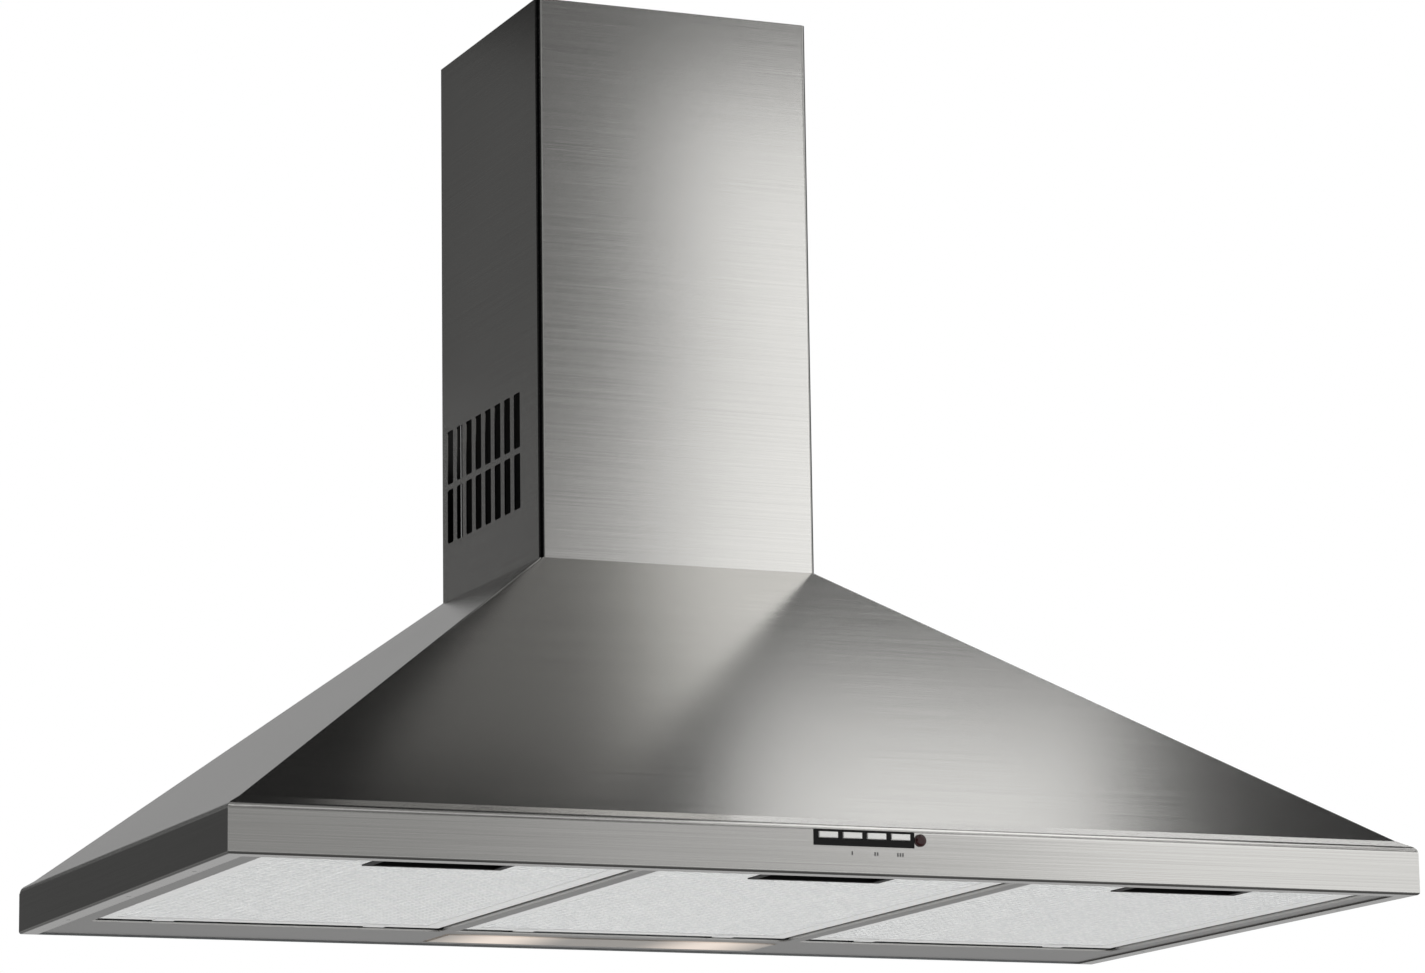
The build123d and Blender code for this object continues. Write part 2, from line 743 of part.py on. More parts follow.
with BuildPart() as bulb_cap_left:
    add(mirror(bulb_cap_right.part, about=Plane.YZ))
bulb_cap_left.part.label = "bulb_cap_left"

bulb_end = cap_x0 - 5
with BuildPart() as bulb_right:
    with BuildSketch(Plane.XY.offset(bulb_z)):
        with BuildLine():
            Polyline(
                (bulb_end - bulb_length, bulb_y), (bulb_end, bulb_y), (bulb_end, bulb_y + cap_radius - 0.5),
            )
            Spline(
                (bulb_end, bulb_y + cap_radius - 0.5),
                (bulb_end - 0.22 * bulb_length, bulb_y + 0.86 * bulb_radius),
                (bulb_end - 0.55 * bulb_length, bulb_y + bulb_radius),
                (bulb_end - bulb_length, bulb_y),
                tangents=((-1, 0.3), (0, -1)),
            )
        make_face()
    revolve(axis=Axis((0, bulb_y, bulb_z), (1, 0, 0)))
bulb_right.part.label = "bulb_right"

with BuildPart() as bulb_left:
    add(mirror(bulb_right.part, about=Plane.YZ))
bulb_left.part.label = "bulb_left"

# Controls: bezel, switch block, four push buttons and the pilot lens
bezel_back = front_y + bezel_depth
switch_y0 = bezel_back + button_gap + button_flange_thick + button_travel + 0.8
control_xs = [control_x + (i - 1.5) * button_pitch for i in range(4)]
with BuildPart() as control_bezel:
    block(
        control_x - bezel_width / 2, control_x + bezel_width / 2, front_y, bezel_back,
        control_z - bezel_height / 2, control_z + bezel_height / 2,
    )
    block(
        control_x - bezel_width / 2 - bezel_rim, control_x + bezel_width / 2 + bezel_rim,
        front_y - bezel_proud, front_y,
        control_z - bezel_height / 2 - bezel_rim, control_z + bezel_height / 2 + bezel_rim,
    )
    for sx in (-1, 1):
        edge = control_x + sx * bezel_width / 2
        block(
            min(edge, edge - sx * switch_arm), max(edge, edge - sx * switch_arm), bezel_back, switch_y0,
            control_z - bezel_height / 2, control_z + bezel_height / 2,
        )
    for bx in control_xs:
        block(
            bx - button_width / 2 - button_gap, bx + button_width / 2 + button_gap, front_y - 2, bezel_back + 1,
            button_z - button_height / 2 - button_gap, button_z + button_height / 2 + button_gap, Mode.SUBTRACT,
        )
control_bezel.part.label = "control_bezel"

switch_low = tray_top + tray_wall + 1.5
with BuildPart() as switch_block:
    block(
        control_x - bezel_width / 2, control_x + bezel_width / 2, switch_y0, switch_y0 + switch_depth,
        max(switch_low, control_z - switch_height / 2), control_z + switch_height / 2,
    )
    for bx in control_xs:
        block(
            bx - stem_size / 2 - stem_gap, bx + stem_size / 2 + stem_gap, switch_y0 - 1, switch_y0 + 8,
            button_z - stem_size / 2 - stem_gap, button_z + stem_size / 2 + stem_gap, Mode.SUBTRACT,
        )
switch_block.part.label = "switch_block"

flange_y0 = bezel_back + button_gap
with BuildPart() as button_light:
    block(
        control_xs[0] - button_width / 2, control_xs[0] + button_width / 2, front_y - button_proud, flange_y0,
        button_z - button_height / 2, button_z + button_height / 2,
    )
    fillet(button_light.edges().group_by(Axis.Y)[0], 0.6)
    block(
        control_xs[0] - button_width / 2 - button_flange, control_xs[0] + button_width / 2 + button_flange,
        flange_y0, flange_y0 + button_flange_thick,
        button_z - button_height / 2 - button_flange, button_z + button_height / 2 + button_flange,
    )
    block(
        control_xs[0] - stem_size / 2, control_xs[0] + stem_size / 2, flange_y0, switch_y0 + 3,
        button_z - stem_size / 2, button_z + stem_size / 2,
    )
button_light.part.label = "button_light"

with BuildPart() as button_speed_1:
    with Locations((button_pitch, 0, 0)):
        add(button_light.part)
button_speed_1.part.label = "button_speed_1"

with BuildPart() as button_speed_2:
    with Locations((2 * button_pitch, 0, 0)):
        add(button_light.part)
button_speed_2.part.label = "button_speed_2"

with BuildPart() as button_speed_3:
    with Locations((3 * button_pitch, 0, 0)):
        add(button_light.part)
button_speed_3.part.label = "button_speed_3"

with BuildPart() as pilot_lens:
    rod_y(front_y - pilot_rim_thick, front_y, pilot_x, control_z, pilot_rim)
    rod_y(front_y - pilot_dome, front_y + pilot_length, pilot_x, control_z, pilot_radius)
    fillet(pilot_lens.edges().group_by(Axis.Y)[0], pilot_dome - pilot_rim_thick - 0.1)
pilot_lens.part.label = "pilot_lens"


def scroll_points(grow, first):
    """Points on the scroll's spiral, grown outwards, from an angle in degrees up to a full turn."""
    points = []
    for i in range(21):
        angle = first + (360.0 - first) * i / 20
        share = (angle - scroll_start) / (360.0 - scroll_start)
        radius = scroll_small + (scroll_large - scroll_small) * share + grow
        points.append(
            (
                blower_y + radius * math.cos(math.radians(angle)),
                blower_z + radius * math.sin(math.radians(angle)),
            )
        )
    return points


def scroll_outline(grow, top):
    """The spiral and its outlet as one face, grown outwards by a wall, up to a level."""
    first = math.degrees(math.acos((tongue_y - grow - blower_y) / (scroll_small + grow)))
    points = scroll_points(grow, first)
    with BuildSketch() as outline:
        with BuildLine():
            Spline(*points)
            Polyline(points[-1], (points[-1][0], top), (points[0][0], top), points[0])
        make_face()
    return outline.sketch


def inlet_ring(x_out, x_in):
    """Adds a short neck round the air inlet, from the plate's outside to its inner end."""
    low = min(x_out, x_in)
    high = max(x_out, x_in)
    rod_x(low, high, blower_y, blower_z, inlet_radius + blower_wall)
    rod_x(low - 1, high + 1, blower_y, blower_z, inlet_radius, Mode.SUBTRACT)


# Blower scroll: spiral wall and left side plate, with a flange round its open right side
tongue_y = blower_y + scroll_small * math.cos(math.radians(scroll_start))
scroll_x0 = -blower_half - blower_wall
with BuildPart() as blower_scroll:
    with BuildSketch(Plane.YZ.offset(scroll_x0)):
        add(scroll_outline(blower_wall, outlet_top))
    extrude(amount=2 * blower_half + blower_wall)
    with BuildSketch(Plane.YZ.offset(blower_half - blower_wall)):
        add(scroll_outline(blower_wall + scroll_flange, outlet_top))
    extrude(amount=blower_wall)
    with BuildSketch(Plane.YZ.offset(-blower_half)):
        add(scroll_outline(0, outlet_top + 1))
    extrude(amount=2 * blower_half + 1, mode=Mode.SUBTRACT)
    inlet_ring(scroll_x0, -blower_half + inlet_neck)
    mouth = blower_scroll.edges().filter_by(GeomType.CIRCLE).group_by(Axis.X)[0]
    fillet(mouth, min(inlet_round, blower_wall - 0.2))
blower_scroll.part.label = "blower_scroll"

lid_x0 = blower_half
lid_x1 = blower_half + blower_wall
mount_angles = (90.0, 210.0, 330.0)
with BuildPart() as blower_lid:
    with BuildSketch(Plane.YZ.offset(lid_x0)):
        add(scroll_outline(blower_wall + scroll_flange, outlet_top))
    extrude(amount=blower_wall)
    inlet_ring(lid_x1, lid_x0 - inlet_neck)
    mouth = blower_lid.edges().filter_by(GeomType.CIRCLE).group_by(Axis.X)[-1]
    fillet(mouth, min(inlet_round, blower_wall - 0.2))
    for a in mount_angles:
        rod_x(
            lid_x0 - 1, lid_x1 + 1, blower_y + spider_reach * math.cos(math.radians(a)),
            blower_z + spider_reach * math.sin(math.radians(a)), mount_screw + screw_gap, Mode.SUBTRACT,
        )
blower_lid.part.label = "blower_lid"

# Double-inlet impeller with forward-curved blades between two end rings and a middle disc
with BuildSketch() as blade:
    with Locations((0, -blade_curve)):
        Circle(blade_curve + blade_thick / 2)
        Circle(blade_curve - blade_thick / 2, mode=Mode.SUBTRACT)
    with Locations((0, blade_thick / 2)):
        Rectangle(blade_depth, blade_curve, mode=Mode.INTERSECT)
with BuildPart() as impeller:
    rod_x(-disc_thick / 2, disc_thick / 2, blower_y, blower_z, impeller_radius - 1)
    for x0, x1 in ((-impeller_half, -impeller_half + impeller_ring), (impeller_half - impeller_ring, impeller_half)):
        rod_x(x0, x1, blower_y, blower_z, impeller_radius)
    with BuildSketch(Plane.YZ.offset(-impeller_half)):
        with Locations((blower_y, blower_z)):
            with PolarLocations((impeller_radius + impeller_inner) / 2, blade_count):
                add(blade.sketch, rotation=blade_lean)
            Circle(impeller_radius, mode=Mode.INTERSECT)
    extrude(amount=2 * impeller_half)
    rod_x(-impeller_half - 1, -disc_thick / 2, blower_y, blower_z, impeller_inner, Mode.SUBTRACT)
    rod_x(disc_thick / 2, impeller_half + 1, blower_y, blower_z, impeller_inner, Mode.SUBTRACT)
    rod_x(-hub_left, hub_right, blower_y, blower_z, hub_radius)
    rod_x(-hub_left - 1, hub_right + 1, blower_y, blower_z, shaft_radius, Mode.SUBTRACT)
impeller.part.label = "impeller"

motor_right = motor_left + motor_length
with BuildPart() as motor_shaft:
    rod_x(-shaft_left, motor_right - 4, blower_y, blower_z, shaft_radius)
motor_shaft.part.label = "motor_shaft"

with BuildPart() as motor_body:
    rod_x(motor_left, motor_right, blower_y, blower_z, motor_radius)
    fillet(motor_body.edges().filter_by(GeomType.CIRCLE), motor_round)
    rod_x(motor_right - 1, motor_right + motor_boss_length, blower_y, blower_z, motor_boss)
    for i in range(motor_vents):
        turn = 360.0 * i / motor_vents
        with Locations(Location((motor_left + motor_vent_gap, blower_y, blower_z), (turn, 0, 0))):
            with Locations((motor_vent_length / 2, 0, motor_radius)):
                Box(motor_vent_length, motor_vent_width, 2 * motor_vent_depth, mode=Mode.SUBTRACT)
    rod_x(motor_left - 1, motor_right - 2, blower_y, blower_z, shaft_radius + shaft_gap, Mode.SUBTRACT)
motor_body.part.label = "motor_body"

# Spider that carries the motor on three rubber mounts
arm_x0 = lid_x1 + mount_thick
arm_x1 = arm_x0 + spider_thick
with BuildPart() as motor_spider:
    for a in mount_angles:
        with BuildSketch(Plane.YZ.offset(arm_x0)):
            with Locations((blower_y, blower_z)):
                with PolarLocations((motor_radius + spider_reach) / 2, 1, start_angle=a):
                    Rectangle(spider_reach - motor_radius, spider_arm)
                with PolarLocations(spider_reach, 1, start_angle=a):
                    Circle(spider_arm / 2)
        extrude(amount=spider_thick)
    rod_x(arm_x0, arm_x1 + spider_collar, blower_y, blower_z, motor_radius + spider_ring)
    rod_x(arm_x0 - 1, arm_x1 + spider_collar + 1, blower_y, blower_z, motor_radius, Mode.SUBTRACT)
    for a in mount_angles:
        rod_x(
            arm_x0 - 1, arm_x1 + 1, blower_y + spider_reach * math.cos(math.radians(a)),
            blower_z + spider_reach * math.sin(math.radians(a)), mount_screw + screw_gap, Mode.SUBTRACT,
        )
motor_spider.part.label = "motor_spider"

with BuildPart() as rubber_mounts:
    for a in mount_angles:
        y = blower_y + spider_reach * math.cos(math.radians(a))
        z = blower_z + spider_reach * math.sin(math.radians(a))
        rod_x(lid_x1, arm_x0, y, z, mount_radius)
        rod_x(lid_x1 - 1, arm_x0 + 1, y, z, mount_screw + screw_gap, Mode.SUBTRACT)
rubber_mounts.part.label = "rubber_mounts"

with BuildPart() as motor_screws:
    for a in mount_angles:
        y = blower_y + spider_reach * math.cos(math.radians(a))
        z = blower_z + spider_reach * math.sin(math.radians(a))
        rod_x(arm_x1, arm_x1 + small_screw_height, y, z, mount_screw_head)
        rod_x(lid_x0 + 0.5, arm_x1 + 0.5, y, z, mount_screw)
motor_screws.part.label = "motor_screws"

# Finger guard over the left inlet
guard_x1 = -blower_half - blower_wall
guard_x0 = guard_x1 - guard_thick
with BuildPart() as inlet_guard:
    rings = ((guard_outer, inlet_radius - guard_seat), (guard_ring_1, guard_ring_1 - guard_bar),
             (guard_ring_2, guard_ring_2 - guard_bar))
    for outer, inner in rings:
        with BuildSketch(Plane.YZ.offset(guard_x0)):
            with Locations((blower_y, blower_z)):
                Circle(outer)
                Circle(inner, mode=Mode.SUBTRACT)
        extrude(amount=guard_thick)
    with BuildSketch(Plane.YZ.offset(guard_x0)):
        with Locations((blower_y, blower_z)):
            for turn in (30, 90, 150):
                Rectangle(2 * inlet_radius, guard_bar, rotation=turn)
    extrude(amount=guard_thick)
inlet_guard.part.label = "inlet_guard"

# Hanger: a hat section between the back panel and the scroll's rear wall
scroll_back = blower_y + scroll_large + blower_wall
with BuildPart() as blower_hanger:
    block(
        -hanger_half, hanger_half, scroll_back, scroll_back + hanger_sheet, hanger_low, hanger_high,
    )
    block(-hanger_half, hanger_half, scroll_back, -back_sheet, hanger_low, hanger_low + hanger_sheet)
    block(-hanger_half, hanger_half, scroll_back, -back_sheet, hanger_high - hanger_sheet, hanger_high)
    block(
        -hanger_half, hanger_half, -back_sheet - hanger_sheet, -back_sheet,
        hanger_low - hanger_foot, hanger_low + hanger_sheet,
    )
    block(
        -hanger_half, hanger_half, -back_sheet - hanger_sheet, -back_sheet,
        hanger_high - hanger_sheet, hanger_high + hanger_foot,
    )
    for sx in (-1, 1):
        for z in (hanger_low - hanger_foot / 2, hanger_high + hanger_foot / 2):
            rod_y(-back_sheet - hanger_sheet - 1, 1, sx * hanger_screw_x, z, small_screw + screw_gap, Mode.SUBTRACT)
blower_hanger.part.label = "blower_hanger"

with BuildPart() as hanger_screws:
    for sx in (-1, 1):
        for z in (hanger_low - hanger_foot / 2, hanger_high + hanger_foot / 2):
            head_y = -back_sheet - hanger_sheet
            rod_y(head_y - small_screw_height, head_y, sx * hanger_screw_x, z, small_screw_head)
            rod_y(head_y - 0.5, -0.1, sx * hanger_screw_x, z, small_screw)
hanger_screws.part.label = "hanger_screws"

# Outlet collar with a ledge for the damper flaps
collar_in = collar_radius - collar_wall
with BuildPart() as outlet_collar:
    block(
        -lid_x1 - collar_margin, lid_x1 + collar_margin,
        tongue_y - blower_wall - collar_margin, scroll_back + collar_margin,
        outlet_top, outlet_top + collar_plate,
    )
    rod_z(outlet_top, collar_top, 0, collar_y, collar_radius)
    rod_z(outlet_top - 1, collar_top + 1, 0, collar_y, collar_in, Mode.SUBTRACT)
    ledge_top = damper_z - flap_thick / 2 - ledge_gap
    with BuildSketch(Plane.XY.offset(ledge_top - ledge_thick)):
        with Locations((0, collar_y)):
            Circle(collar_in + 0.5)
            Circle(collar_in - ledge_width, mode=Mode.SUBTRACT)
    extrude(amount=ledge_thick)
    rod_x(-collar_radius - 1, collar_radius + 1, collar_y, damper_z, damper_pin, Mode.SUBTRACT)
outlet_collar.part.label = "outlet_collar"

with BuildPart() as damper_pin_rod:
    rod_x(-collar_radius + 0.2, collar_radius - 0.2, collar_y, damper_z, damper_pin)
damper_pin_rod.part.label = "damper_pin_rod"

flap_radius = collar_in - flap_gap
knuckle_outer = knuckle_start + knuckle_length + knuckle_gap
front_knuckles = (-knuckle_outer - knuckle_length, knuckle_start)
back_knuckles = (-knuckle_start - knuckle_length, knuckle_outer)
with BuildPart() as flap_front:
    with BuildSketch(Plane.XY.offset(damper_z - flap_thick / 2)):
        with Locations((0, collar_y)):
            Circle(flap_radius)
        with Locations((0, collar_y + flap_radius - flap_split)):
            Rectangle(2 * flap_radius + 2, 2 * flap_radius, mode=Mode.SUBTRACT)
    extrude(amount=flap_thick)
    for x in front_knuckles:
        rod_x(x, x + knuckle_length, collar_y, damper_z, knuckle_radius)
        block(
            x, x + knuckle_length, collar_y - flap_split - 1, collar_y,
            damper_z - flap_thick / 2, damper_z + flap_thick / 2,
        )
        rod_x(x - 1, x + knuckle_length + 1, collar_y, damper_z, damper_pin + damper_pin_gap, Mode.SUBTRACT)
flap_front.part.label = "flap_front"

with BuildPart() as flap_back:
    with BuildSketch(Plane.XY.offset(damper_z - flap_thick / 2)):
        with Locations((0, collar_y)):
            Circle(flap_radius)
        with Locations((0, collar_y - flap_radius + flap_split)):
            Rectangle(2 * flap_radius + 2, 2 * flap_radius, mode=Mode.SUBTRACT)
    extrude(amount=flap_thick)
    for x in back_knuckles:
        rod_x(x, x + knuckle_length, collar_y, damper_z, knuckle_radius)
        block(
            x, x + knuckle_length, collar_y, collar_y + flap_split + 1,
            damper_z - flap_thick / 2, damper_z + flap_thick / 2,
        )
        rod_x(x - 1, x + knuckle_length + 1, collar_y, damper_z, damper_pin + damper_pin_gap, Mode.SUBTRACT)
flap_back.part.label = "flap_back"

# Terminal box with its lid and the mains cable's gland
term_x1 = terminal_left + terminal_width
term_y0 = -back_sheet - terminal_depth
term_z1 = terminal_low + terminal_height
gland_x = terminal_left + terminal_width / 4
gland_y = -back_sheet - terminal_depth / 2
with BuildPart() as terminal_box:
    block(terminal_left, term_x1, term_y0, -back_sheet, terminal_low, term_z1)
    block(
        terminal_left + terminal_wall, term_x1 - terminal_wall, term_y0 - 1, -back_sheet - terminal_wall,
        terminal_low + terminal_wall, term_z1 - terminal_wall, Mode.SUBTRACT,
    )
    rod_z(term_z1 - terminal_wall - 1, term_z1 + 1, gland_x, gland_y, gland_radius, Mode.SUBTRACT)
terminal_box.part.label = "terminal_box"

with BuildPart() as terminal_lid:
    block(terminal_left, term_x1, term_y0 - terminal_wall, term_y0, terminal_low, term_z1)
    fillet(terminal_lid.edges().filter_by(Axis.Y), 3)
terminal_lid.part.label = "terminal_lid"

with BuildPart() as cable_gland:
    rod_z(term_z1 - terminal_wall - 3, term_z1 + gland_height, gland_x, gland_y, gland_radius)
    with BuildSketch(Plane.XY.offset(term_z1)):
        with Locations((gland_x, gland_y)):
            RegularPolygon(gland_nut, 6)
    extrude(amount=6)
    rod_z(term_z1 - 10, term_z1 + gland_height + 1, gland_x, gland_y, gland_bore, Mode.SUBTRACT)
cable_gland.part.label = "cable_gland"

# Motor capacitor in its clip
capacitor_y = -back_sheet - clip_stand - clip_thick - capacitor_radius
with BuildPart() as capacitor:
    rod_x(
        capacitor_x - capacitor_length / 2, capacitor_x + capacitor_length / 2,
        capacitor_y, capacitor_z, capacitor_radius,
    )
    fillet(capacitor.edges().filter_by(GeomType.CIRCLE), 1.5)
capacitor.part.label = "capacitor"

with BuildPart() as capacitor_clip:
    rod_x(
        capacitor_x - clip_width / 2, capacitor_x + clip_width / 2, capacitor_y, capacitor_z,
        capacitor_radius + clip_thick,
    )
    block(
        capacitor_x - clip_width / 2, capacitor_x + clip_width / 2, capacitor_y, -back_sheet,
        capacitor_z - clip_foot / 2, capacitor_z + clip_foot / 2,
    )
    rod_x(
        capacitor_x - clip_width, capacitor_x + clip_width, capacitor_y, capacitor_z, capacitor_radius, Mode.SUBTRACT,
    )
capacitor_clip.part.label = "capacitor_clip"

export_step(canopy_shell.part, "parts/canopy_shell.step")
export_step(back_panel.part, "parts/back_panel.step")
export_step(chimney_cover.part, "parts/chimney_cover.step")
export_step(chimney_extension.part, "parts/chimney_extension.step")
export_step(extension_bracket.part, "parts/extension_bracket.step")
export_step(chimney_plate.part, "parts/chimney_plate.step")
export_step(filter_tray.part, "parts/filter_tray.step")
export_step(tray_front_rail.part, "parts/tray_front_rail.step")
export_step(tray_screws.part, "parts/tray_screws.step")
export_step(filter_frame_left.part, "parts/filter_frame_left.step")
export_step(filter_frame_centre.part, "parts/filter_frame_centre.step")
export_step(filter_frame_right.part, "parts/filter_frame_right.step")
export_step(filter_mesh_left.part, "parts/filter_mesh_left.step")
export_step(filter_mesh_centre.part, "parts/filter_mesh_centre.step")
export_step(filter_mesh_right.part, "parts/filter_mesh_right.step")
export_step(latch_cup_left.part, "parts/latch_cup_left.step")
export_step(latch_cup_centre.part, "parts/latch_cup_centre.step")
export_step(latch_cup_right.part, "parts/latch_cup_right.step")
export_step(filter_latch_left.part, "parts/filter_latch_left.step")
export_step(filter_latch_centre.part, "parts/filter_latch_centre.step")
export_step(filter_latch_right.part, "parts/filter_latch_right.step")
export_step(lamp_tray.part, "parts/lamp_tray.step")
export_step(lamp_cover.part, "parts/lamp_cover.step")
export_step(lamp_holder_left.part, "parts/lamp_holder_left.step")
export_step(lamp_holder_right.part, "parts/lamp_holder_right.step")
export_step(bulb_cap_left.part, "parts/bulb_cap_left.step")
export_step(bulb_cap_right.part, "parts/bulb_cap_right.step")
export_step(bulb_left.part, "parts/bulb_left.step")
export_step(bulb_right.part, "parts/bulb_right.step")
export_step(control_bezel.part, "parts/control_bezel.step")
export_step(switch_block.part, "parts/switch_block.step")
export_step(button_light.part, "parts/button_light.step")
export_step(button_speed_1.part, "parts/button_speed_1.step")
export_step(button_speed_2.part, "parts/button_speed_2.step")
export_step(button_speed_3.part, "parts/button_speed_3.step")
export_step(pilot_lens.part, "parts/pilot_lens.step")
export_step(blower_scroll.part, "parts/blower_scroll.step")
export_step(blower_lid.part, "parts/blower_lid.step")
export_step(impeller.part, "parts/impeller.step")
export_step(motor_shaft.part, "parts/motor_shaft.step")
export_step(motor_body.part, "parts/motor_body.step")
export_step(motor_spider.part, "parts/motor_spider.step")
export_step(rubber_mounts.part, "parts/rubber_mounts.step")
export_step(motor_screws.part, "parts/motor_screws.step")
export_step(inlet_guard.part, "parts/inlet_guard.step")
export_step(blower_hanger.part, "parts/blower_hanger.step")
export_step(hanger_screws.part, "parts/hanger_screws.step")
export_step(outlet_collar.part, "parts/outlet_collar.step")
export_step(damper_pin_rod.part, "parts/damper_pin.step")
export_step(flap_front.part, "parts/flap_front.step")
export_step(flap_back.part, "parts/flap_back.step")
export_step(terminal_box.part, "parts/terminal_box.step")
export_step(terminal_lid.part, "parts/terminal_lid.step")
export_step(cable_gland.part, "parts/cable_gland.step")
export_step(capacitor.part, "parts/capacitor.step")
export_step(capacitor_clip.part, "parts/capacitor_clip.step")
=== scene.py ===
# %% [markdown]
# # A brushed steel wall hood
#
# This lesson dresses a wall mount range hood whose solids already exist: a pyramid canopy with a band,
# a slotted chimney, three grease filters, a lamp and a blower inside. The solids give the shapes and the
# joints. What is left for Blender is the eye's part: the finish of each sheet and plastic, the open
# lattice of the filters, the small marks by the buttons, and a studio that the steel can mirror.

# %% Load the frame
import math

import bmesh
import bpy
from mathutils import Matrix, Vector


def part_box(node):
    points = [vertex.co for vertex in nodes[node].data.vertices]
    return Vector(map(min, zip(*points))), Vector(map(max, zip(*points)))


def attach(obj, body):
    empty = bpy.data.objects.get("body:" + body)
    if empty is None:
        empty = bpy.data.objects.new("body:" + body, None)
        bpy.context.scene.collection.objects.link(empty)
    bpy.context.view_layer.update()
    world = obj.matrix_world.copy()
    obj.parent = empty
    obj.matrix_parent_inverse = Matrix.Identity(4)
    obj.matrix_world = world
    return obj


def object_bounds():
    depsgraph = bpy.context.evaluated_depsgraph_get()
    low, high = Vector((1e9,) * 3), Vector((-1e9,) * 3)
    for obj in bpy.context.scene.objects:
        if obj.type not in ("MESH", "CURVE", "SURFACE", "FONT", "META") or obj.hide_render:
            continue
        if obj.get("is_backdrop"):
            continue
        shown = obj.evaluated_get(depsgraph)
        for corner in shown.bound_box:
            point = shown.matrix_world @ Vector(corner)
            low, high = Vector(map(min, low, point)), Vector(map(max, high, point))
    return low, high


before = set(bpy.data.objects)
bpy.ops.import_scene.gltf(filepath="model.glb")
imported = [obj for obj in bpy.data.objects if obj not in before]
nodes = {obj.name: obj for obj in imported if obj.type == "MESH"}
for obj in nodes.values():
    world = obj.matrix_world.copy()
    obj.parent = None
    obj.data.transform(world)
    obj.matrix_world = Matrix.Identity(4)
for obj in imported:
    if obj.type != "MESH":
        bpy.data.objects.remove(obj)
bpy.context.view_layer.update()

MM = 0.001


# %% [markdown]
# ## Small tools for finishes
#
# Colours are picked as sRGB hex, the way a paint chart or an image editor shows them, but a shader mixes
# light in linear values. One function does that change. A second one adds a node, sets its properties and
# colour stops and wires its inputs in a single line, so that each finish below reads like a recipe. A third
# starts an empty material.

# %% Colour and node helpers
def shade(hex_code):
    """Linear RGBA of an sRGB hex colour."""
    channels = [int(hex_code[i:i + 2], 16) / 255 for i in (1, 3, 5)]
    return [c / 12.92 if c <= 0.04045 else ((c + 0.055) / 1.055) ** 2.4 for c in channels] + [1.0]


def put(tree, kind, settings=None, stops=(), **sockets):
    """Adds a node, sets its properties and colour stops, and fills or links its inputs.

    An input goes by its socket's name, with _ for a space, or by its number, as i0 for the first.
    """
    node = tree.nodes.new(kind)
    for key, value in (settings or {}).items():
        setattr(node, key, value)
    if stops:
        marks = node.color_ramp.elements
        while len(marks) < len(stops):
            marks.new(0.5)
        for mark, (place, hex_code) in zip(marks, stops):
            mark.position = place
            mark.color = shade(hex_code)
    for key, value in sockets.items():
        numbered = key[0] == "i" and key[1:].isdigit()
        socket = node.inputs[int(key[1:]) if numbered else key.replace("_", " ")]
        if isinstance(value, bpy.types.NodeSocket):
            tree.links.new(value, socket)
        else:
            socket.default_value = value
    return node


def finish(name):
    """A material with an empty node tree, and that tree to fill."""
    mat = bpy.data.materials.new(name)
    mat.use_nodes = True
    tree = mat.node_tree
    tree.nodes.clear()
    return mat, tree


# %% [markdown]
# ## Brushed stainless steel
#
# Ferritic stainless sheet is drawn under an abrasive belt, which leaves scratches a few hundredths of a
# millimetre wide and many millimetres long. They are far too fine to model or even to see one by one, so
# they are drawn here about 0.5 mm apart, coarse enough to show, as a noise that is squeezed across the
# belt's run and stretched along it. The scratches change the roughness and tilt the surface a little,
# which smears reflections across the grain. The run is level on the chimney, the canopy and the band.
#
# Only the outside is brushed. The inside of the chimney cover lies in shade, as one sees through its slots,
# and
# that shade is painted into the colour: a box a little smaller than the cover marks where the colour drops
# to a painted dark grey.

# %% Brushed steel
SCRATCH_GAP = 0.5 * MM
SCRATCH_RUN = 200 * MM
SCRATCH_DEPTH = 0.2 * MM
SCRATCH_TILT = 0.06
CLOUDS_PER_METRE = 6.0
CLOUD_SHARE = 0.25
# painted shade: the dark grey that stands for the shade inside the chimney cover
INSIDE_PAINTED_SHADE = "#3c3c3c"


def inside_box(tree, where, low, high):
    """One inside an upright shaft between two corners, zero outside it."""
    middle = (low + high) / 2
    reach = (high - low) / 2
    mask = 1.0
    shifted = put(tree, "ShaderNodeVectorMath", {"operation": "SUBTRACT"}, i0=where, i1=middle).outputs[0]
    axes = put(tree, "ShaderNodeSeparateXYZ", i0=shifted)
    for axis, limit in (("X", reach.x), ("Y", reach.y)):
        off = put(tree, "ShaderNodeMath", {"operation": "ABSOLUTE"}, i0=axes.outputs[axis]).outputs[0]
        near = put(tree, "ShaderNodeMath", {"operation": "LESS_THAN"}, i0=off, i1=limit).outputs[0]
        mask = put(tree, "ShaderNodeMath", {"operation": "MULTIPLY"}, i0=near, i1=mask).outputs[0]
    return mask


